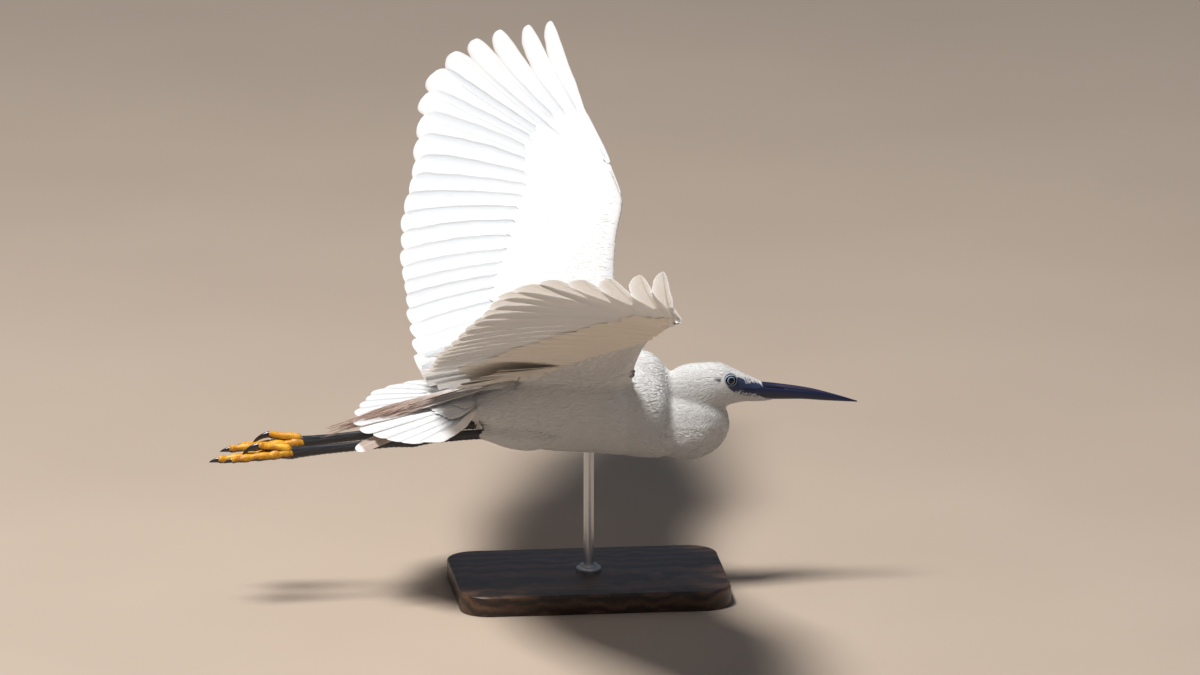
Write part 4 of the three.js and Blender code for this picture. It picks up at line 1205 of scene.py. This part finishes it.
# plumes of the back
# A train of loose ornamental plumes from between the shoulders: fine shafts with long hair-like barbs that
# do not cling together. They lie over the tail and end in a thin wisp, painted browner towards the tips as
# shade.
PLUME_ROOT = -58.0
PLUME_REACH = 178.0
PLUME_STRANDS = 170
BARBS_A_STRAND = 22
PLUME_LOCKS = 46
PLUME_SPREAD = 5.0


def plume_height(x):
    """The train's line: over the feathers of the back, then along the tail, falling to its tip."""
    return through([
        [-240, -19.5], [-219, -12.2], [-200, -5.0], [-158, 6.8], [-130, 14], [-105, 21], [-82, 29], [-44, 37]
    ])(x)


def strand_line(place, reach, lifted, t):
    """A plume's shaft: back from its root by its reach, spread sideways by its place and towards the near
    side, sagging a little at the sides."""
    x = PLUME_ROOT + 14 * np.cos(place * 7.3) - reach * t
    y = place * mix(2.4, 2.2, t) - 7 * t + 0.9 * np.sin(place * 11 + 3 * t)
    z = plume_height(x) - np.abs(place) * 0.5 + lifted * (0.4 + 2.9 * t ** 2) - 1.2 * (1 - t)
    return np.stack([x, y, z], axis=-1)


def hair_rings(line, thick):
    """Three-sided rings about each line, thick in radius."""
    along = unit(np.gradient(line, axis=1))
    across = unit(np.cross(along, [0, 0, 1.0]))
    up = np.cross(across, along)
    turn = np.array([0.5, 2.6, 4.7])
    round_it = np.cos(turn)[:, None] * across[..., None, :] + np.sin(turn)[:, None] * up[..., None, :]
    return line[:, :, None] + round_it * thick[..., None, None]


chance = np.random.default_rng(70)
strand_place = np.sort(chance.uniform(-PLUME_SPREAD, PLUME_SPREAD, PLUME_STRANDS))[:, None]
share_out = np.abs(strand_place) / PLUME_SPREAD
strand_reach = PLUME_REACH * mix(1, 0.74, share_out) * chance.uniform(0.66, 1.0, strand_place.shape) ** 0.6
strand_lift = chance.uniform(-1.3, 1.2, strand_place.shape)
t = np.linspace(0, 1, 16)[None]
strand_thick = mix(0.55, 0.12, t) + 0 * strand_place
strands = hair_rings(strand_line(strand_place, strand_reach, strand_lift, t), strand_thick)
strand_unwrap = np.concatenate([0.5 + strand_place / 12, 0.5 + 0 * strand_place], axis=1)

plume_white = new_finish(
    "wispy_plume", Roughness=0.7, Sheen_Weight=0.3, Subsurface_Weight=0.35,
    Subsurface_Radius=(0.003, 0.0025, 0.002), Subsurface_Scale=1.0,
)
split = add_node(plume_white, "ShaderNodeSeparateXYZ", [("Vector", object_place(plume_white))])
rearward = add_node(
    plume_white, "ShaderNodeMapRange",
    [("Value", split.outputs["X"]), ("From Min", -0.12), ("From Max", -0.235)],
)
own = add_node(plume_white, "ShaderNodeAttribute", attribute_name="tone").outputs["Fac"]
shift = reckon(plume_white, "MULTIPLY_ADD", own, 0.35, rearward.outputs[0])
# The plumes are white; the colour running from pinkish white to dark brown towards the rear of the train is
# painted shade and warm light from below.
paint(plume_white, color_steps(plume_white, shift, [
    (0.12, (0.87, 0.81, 0.76)), (0.5, (0.76, 0.57, 0.47)), (0.95, (0.42, 0.22, 0.15)),
]))


def plume_piece(name, rings, unwrapped, finish=plume_white):
    """Hair-fine tubes as one object; OFBake gives each a patch 0.003 across at its root's place."""
    count, length, around = rings.shape[:3]
    piece, _ = tube_piece(name, rings + BIRD, finish)
    own_patch = np.stack(np.broadcast_arrays(
        np.linspace(0, PATCH, around)[None, :], np.linspace(0, PATCH, length)[:, None]
    ), axis=-1)
    paint_map(piece, "OFBake", unwrapped[:, None, None] + own_patch)
    give_tones(piece, chance, count)
    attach(piece, "root")
    return piece


shafts = plume_piece("plume_shafts", strands, strand_unwrap)
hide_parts("plumes")
start = np.tile(np.linspace(0.1, 0.97, BARBS_A_STRAND), PLUME_STRANDS)
which = np.repeat(np.arange(PLUME_STRANDS), BARBS_A_STRAND)
start = np.clip(start + chance.uniform(-0.02, 0.02, len(start)), 0, 0.98)[:, None]
root = strand_line(strand_place[which], strand_reach[which], strand_lift[which], start)[:, 0]
hand = np.where(np.arange(len(root)) % 2, 1.0, -1.0) * chance.uniform(0.5, 1.0, len(root))
barb_length = chance.uniform(9, 19, len(root)) * mix(1, 0.75, start[:, 0])
step = np.array([0, 0.35, 0.7, 1.0])
barb_way = np.stack([-1.0 + 0 * hand, 0.22 * hand, chance.uniform(-0.11, 0.10, len(root)) - 0.17], axis=-1)
barb_line = root[:, None] + barb_way[:, None] * (barb_length[:, None] * step)[..., None]
barb_line[..., 1] -= 0.08 * hand[:, None] * barb_length[:, None] * step ** 2
barb_line[..., 2] += 0.5 * (plume_height(barb_line[..., 0]) - plume_height(barb_line[:, :1, 0]))
barbs = hair_rings(barb_line, mix(0.26, 0.07, step) + 0 * root[:, :1])
plume_piece("plume_barbs", barbs, strand_unwrap[which] + np.concatenate([0 * start, start * 0.4], axis=1))

# A thin dark red-brown tube along the near lower edge of the plumes, from the back to the tail: a painted
# shadow line where the plumes meet the wing.
SHADOW_LINE_ASIDE = -18.5
SHADOW_LINE_HEIGHT = [[-171.5, 5.2], [-119.7, 19.6], [-91, 27.5], [-62, 32]]
shadow_line_x = np.linspace(-62, -171.5, 40)
shadow_line_path = np.stack([shadow_line_x, SHADOW_LINE_ASIDE + 0 * shadow_line_x, through(SHADOW_LINE_HEIGHT)(shadow_line_x)], axis=-1)[None]
shadow_line_brown = new_finish("painted_shadow_line", Roughness=0.5, Base_Color=(0.13, 0.05, 0.03, 1))
shadow_line_rings = hair_rings(shadow_line_path, np.full((1, 40), 0.5))
plume_piece("plume_edge_painted_shadow_line", shadow_line_rings, np.array([[0.9, 0.9]]), shadow_line_brown)

lock_place = chance.uniform(-PLUME_SPREAD, PLUME_SPREAD, PLUME_LOCKS)[:, None]
lock_reach = PLUME_REACH * mix(1, 0.62, np.abs(lock_place) / PLUME_SPREAD)
lock_reach = lock_reach * chance.uniform(0.55, 0.9, lock_place.shape)
lock_way = np.linspace(0, 1, 20)[None]
lock_line = strand_line(lock_place, lock_reach, 0 * lock_place - 0.6, lock_way)
lock_along = np.gradient(lock_line, axis=1)
lock_across = unit(np.cross(lock_along, [0, 0, 1.0]))
lock_half = 2.6 * np.sin(np.pi * np.clip(0.16 + 0.84 * lock_way, 0, 1)) ** 0.7 * (1 - 0.5 * lock_way) + 0.15
lock_rings, lock_side = vane_rings(
    lock_line, lock_across, unit(np.cross(lock_across, lock_along)), lock_half + 0 * lock_place,
    lock_half + 0 * lock_place, 0 * lock_line[..., 0], np.zeros(lock_line.shape[:2] + (1,)),
    0.35 + 0 * lock_line[..., 0], 0.3 * (1 - 0.8 * lock_way) + 0 * lock_place,
)
lock_share = np.broadcast_to(lock_way, lock_line.shape[:2])
feather_vanes("plume_locks", lock_rings, lock_side, lock_share, covert_white, chance)

# legs
# Long slender legs in glossy black scaled skin, trailing behind: the bare lower thigh, the knobbed hock and
# the shank, with broad scutes along the front, which faces down, and small scales round the rest.
LEG = [(-94, -23.6, 3.2), (-104, -23.4, 3.3), (-148, -25.6, 3.3), (-160, -26.5, 4.1), (-167.5, -27, 4.7),
       (-176, -27.8, 4.0), (-190, -29, 3.2), (-235, -32.8, 3.2), (-256, -34.6, 3.7), (-266, -35.5, 4.2),
       (-272, -35.8, 3.6)]
LEG_ASIDE = 17.5
FOOT_SHIFT = {1: 4.0, -1: -9.0}


def leg_rings(side, steps=300, around=36):
    """A leg along X. Its radius follows the stations; scutes add a saw-tooth along the front, and rows of
    small scales a product of two cosines elsewhere."""
    stations = np.array(LEG[::-1])
    x = np.linspace(stations[0, 0], stations[-1, 0], steps)[:, None]
    turn = np.linspace(0, 2 * np.pi, around, endpoint=False)[None]
    z, radius = through(stations[:, [0, 1]])(x), through(stations[:, [0, 2]])(x)
    front = np.clip(-np.sin(turn) * 1.6 - 0.35, 0, 1)
    tooth = (x / 4.4) % 1
    scute = 0.30 * (tooth - 0.5) - 0.25 * bell(tooth, 0.02, 0.07)
    scale = 0.13 * np.cos(2 * np.pi * x / 2.6 + np.pi * np.round(turn * 9 / np.pi)) + 0.07 * np.cos(turn * 18)
    relief = mix(scale, scute, front)
    fade = np.clip((-98 - x) / 6, 0, 1)
    reach = radius + relief * fade
    return np.stack([
        x + FOOT_SHIFT[side] * np.clip((-180 - x) / 80, 0, 1) + 0 * turn,
        side * LEG_ASIDE + 0.9 * reach * np.cos(turn), z + 1.36 * reach * np.sin(turn)
    ], axis=-1)


def to_crease(material, stretch):
    """How far a point is from the nearest edge between the cells of its stretched place."""
    lay = add_node(material, "ShaderNodeMapping", [("Vector", object_place(material)), ("Scale", stretch)])
    cells = add_node(
        material, "ShaderNodeTexVoronoi", [("Vector", lay.outputs[0])], feature="DISTANCE_TO_EDGE"
    )
    return cells.outputs["Distance"]


black_scales = new_finish("glossy_black_scales", Roughness=0.27, Coat_Weight=0.4, Coat_Roughness=0.18)
crease = to_crease(black_scales, (420.0, 560.0, 560.0))
paint(black_scales, color_steps(black_scales, crease, [
    (0.0, (0.035, 0.037, 0.045)), (0.06, (0.012, 0.012, 0.016)), (0.5, (0.008, 0.008, 0.011)),
]))
emboss(black_scales, reckon(black_scales, "MINIMUM", crease, 0.12), 0.6, 0.002)

for side, side_name in SIDES:
    leg, _ = tube_piece("leg_" + side_name, (leg_rings(side) + BIRD)[None], black_scales)
    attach(leg, "root")
    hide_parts("tibia_" + side_name, "tarsus_" + side_name)

# feet and claws
# Four long yellow toes a foot, bundled and trailing, ringed with scutes on top and padded below each joint;
# the top, which faces down here, is dark on its lower part, partly dusky and partly painted shade. Each ends
# in a curved black claw, the largest on the hind toe.
TOE_START = -268.0
FOOT_LEVEL = -35.5
# for each toe: length, spread, rise, sag, length and curl of its claw, radius and number of joints
TOES = {
    "hind": (28, .04, 8.2, .02, 20, .95, 3.2, 1), "inner": (43, -.11, -.8, .05, 10, .5, 3.0, 2),
    "middle": (63, 0, -1.4, .05, 11, .35, 3.4, 3), "outer": (52, .11, -.8, .05, 10, .5, 3.1, 4),
}


def toe_point(toe, side, share):
    """A toe's middle line: back, spread sideways, raised or lowered by its place, and slightly sinking."""
    length, spread, up, bend = TOES[toe][:4]
    reach = share * length
    return np.stack([
        TOE_START + FOOT_SHIFT[side] - reach, side * (LEG_ASIDE + spread * (reach + 12)),
        FOOT_LEVEL + up * (0.4 + 0.6 * share) - bend * reach
    ], axis=-1)


def toe_rings(toe, side, steps=110, around=28):
    """A toe: a tapering tube, swollen at its joints, saw-toothed by scutes on the lower (top) side and
    bulging in pads on the upper (sole) side, closed by round ends."""
    length, radius, joints = TOES[toe][0], TOES[toe][6], TOES[toe][7]
    share = np.linspace(-0.1, 1, steps)[:, None]
    turn = np.linspace(0, 2 * np.pi, around, endpoint=False)[None]
    middle = toe_point(toe, side, share)
    swell = 0.10 * np.cos(2 * np.pi * share * joints) * (share > 0)
    end = np.sqrt(np.clip(1 - ((share * length - length + radius) / radius).clip(0, 1) ** 2, 0.02, 1))
    end = end * np.sqrt(np.clip((share + 0.1) / 0.1, 0.04, 1))
    sole = np.clip(np.sin(turn), 0, 1)
    top = np.clip(-np.sin(turn) * 1.5, 0, 1)
    pads = 0.22 * sole * np.abs(np.sin(np.pi * share * joints * 1.5)) ** 0.7
    tooth = (share * length / 2.3) % 1
    scutes = top * (0.24 * (tooth - 0.5) - 0.2 * bell(tooth, 0.03, 0.09))
    knobs = 0.09 * np.cos(2 * np.pi * share * length / 1.5) * np.cos(turn * 11) * (1 - top)
    taper = mix(1.26, 0.92, np.clip(share, 0, 1))
    reach = (radius * taper * (1 + swell + pads) + scutes + knobs) * end
    return middle + np.stack([0 * reach, 0.92 * reach * np.cos(turn), reach * np.sin(turn)], axis=-1)


yellow = new_finish(
    "yellow_toe_skin", Roughness=0.4, Coat_Weight=0.15, Coat_Roughness=0.3, Subsurface_Weight=0.12,
    Subsurface_Radius=(0.002, 0.001, 0.0004), Subsurface_Scale=1.0,
)
blotch = noise(yellow, object_place(yellow), 3.0, (26.0, 26.0, 26.0))
blotched = color_steps(yellow, blotch, [
    (0.3, (0.52, 0.19, 0.006)), (0.5, (0.78, 0.36, 0.010)), (0.72, (0.90, 0.53, 0.025)),
])
crease = to_crease(yellow, (124.0, 124.0, 124.0))
line = color_steps(yellow, crease, [(0.0, (0.30, 0.14, 0.04)), (0.09, (1, 1, 1))])
lined = blend(yellow, 0.75, blotched, line, "MULTIPLY")
# The lower part of each toe, its top here, is painted dark: partly its own dusky colour, partly painted shade
# on the side away from the light.
_, _, high = own_map(yellow, "round")
ragged = reckon(yellow, "MULTIPLY_ADD", blotch, 0.5, high)
dusky_and_painted_shade = color_steps(yellow, ragged, [(0.45, (1, 1, 1)), (0.62, (0, 0, 0))])
paint(yellow, blend(yellow, dusky_and_painted_shade, lined, (0.018, 0.013, 0.010, 1)))
emboss(yellow, reckon(yellow, "MINIMUM", crease, 0.15), 0.5, 0.0015)

claw_horn = new_finish("black_claw_horn", Roughness=0.25, Coat_Weight=0.5, Coat_Roughness=0.12)
grain = noise(claw_horn, object_place(claw_horn), 2.0, (300.0, 1500.0, 1500.0))
black = color_steps(claw_horn, grain, [(0.35, (0.008, 0.007, 0.008)), (0.7, (0.03, 0.025, 0.024))])
paint(claw_horn, black)
emboss(claw_horn, grain, 0.1, 0.0003)

for side, side_name in SIDES:
    palm = egg((TOE_START - 3 + FOOT_SHIFT[side], side * LEG_ASIDE, FOOT_LEVEL), (9, 5.4, 5.0), 110, 28)
    rings = np.stack([palm] + [toe_rings(toe, side) for toe in TOES])
    foot, turned_over = tube_piece("foot_" + side_name + "_toes", rings + BIRD, yellow)
    height = rings[..., 2]
    high = (height - height.min(axis=2, keepdims=True)) / np.ptp(height, axis=2)[..., None]
    away = (-262 - rings[..., 0]) / 80
    paint_map(foot, "round", as_turned(np.stack([away, high], axis=-1), turned_over))
    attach(foot, "root")
    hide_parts("foot_" + side_name)

    claws = []
    for toe, (length, spread, up, bend, claw, curl, radius, _) in TOES.items():
        end = toe_point(toe, side, 1.0)
        t = np.linspace(0, 1, 40)
        line = end + np.stack([
            3 - claw * np.sin(curl * t) / curl, 0 * t, -claw * (1 - np.cos(curl * t)) / curl
        ], axis=-1)
        along = unit(np.gradient(line, axis=0))
        up_way = unit(np.cross(along, [0, 1.0, 0]))
        turn = np.linspace(0, 2 * np.pi, 20, endpoint=False)
        thick = radius * (0.92 if toe == "hind" else 0.76) * (1 - t ** 1.35) ** 0.75 + 0.06
        claws.append(line[:, None] + thick[:, None, None] * (
            0.72 * np.cos(turn)[:, None] * np.array([0, 1.0, 0]) + np.sin(turn)[:, None] * up_way[:, None]
        ))
    talons, _ = tube_piece("claws_" + side_name, np.stack(claws) + BIRD, claw_horn)
    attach(talons, "root")
    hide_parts(*["claw_" + side_name + "_" + toe for toe in TOES])

# floor, light and camera
# A wide plain floor in a pale sand tone stands in for the ground, which lights the bird warmly from below.
# One large soft light stands for the high sun, and the camera looks from the photograph's angle.
FLOOR_REACH = 90.0
LIGHTS = (
    ("high_key", (-1.2, -0.65, 3.7), (0.0, 0.05, 0.25), 0.9, 218.0, (1.0, 0.975, 0.945)),
    ("low_warm_fill", (0.6, -3.2, 0.5), (0.0, 0.0, 0.25), 2.2, 3.0, (1.0, 0.80, 0.62)),
)
LENS = 850.0
SENSOR_WIDTH = 36.0
PICTURE_WIDTH = 1.056
CAMERA_FORWARD = (0.1061, 0.9615, -0.2538)
CAMERA_TARGET = (0.010, 0.0, 0.2305)

corners = FLOOR_REACH * np.array([[-1, -1, 0], [1, -1, 0], [1, 1, 0], [-1, 1, 0.0]])
floor = put_mesh("floor", corners, [np.array([[0, 1, 2, 3]])])
floor_paint = new_finish("pale_floor", Roughness=0.9)
cloud = noise(floor_paint, object_place(floor_paint), 2.0, (0.6, 0.6, 0.6))
sand = color_steps(floor_paint, cloud, [(0.3, (0.425, 0.342, 0.272)), (0.7, (0.45, 0.365, 0.29))])
paint(floor_paint, sand)
floor.data.materials.append(floor_paint)
floor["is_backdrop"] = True

world = bpy.data.worlds.new("studio")
bpy.context.scene.world = world
world.use_nodes = True
background = world.node_tree.nodes["Background"]
background.inputs["Color"].default_value = (0.68, 0.80, 1.0, 1)
background.inputs["Strength"].default_value = 0.17


def aimed(thing, spot, direction):
    """A lamp or a camera as an object at a spot, looking along a direction."""
    placed = bpy.data.objects.new(thing.name, thing)
    bpy.context.scene.collection.objects.link(placed)
    placed.location = spot
    placed.rotation_mode = "QUATERNION"
    placed.rotation_quaternion = Vector(direction).to_track_quat("-Z", "Y")
    return placed


for light_name, spot, aim, size, power, tint in LIGHTS:
    lamp = bpy.data.lights.new(light_name, "AREA")
    lamp.size = size
    lamp.energy = power
    lamp.color = tint
    aimed(lamp, spot, np.array(aim) - np.array(spot))

camera = bpy.data.cameras.new("camera")
camera.sensor_width = SENSOR_WIDTH
camera.lens = LENS
camera.clip_start = 1.0
camera.clip_end = 400.0
forward = unit(np.array(CAMERA_FORWARD))
away = LENS * PICTURE_WIDTH / SENSOR_WIDTH
bpy.context.scene.camera = aimed(camera, np.array(CAMERA_TARGET) - away * forward, forward)
bpy.context.scene.view_settings.view_transform = "Standard"

low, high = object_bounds()
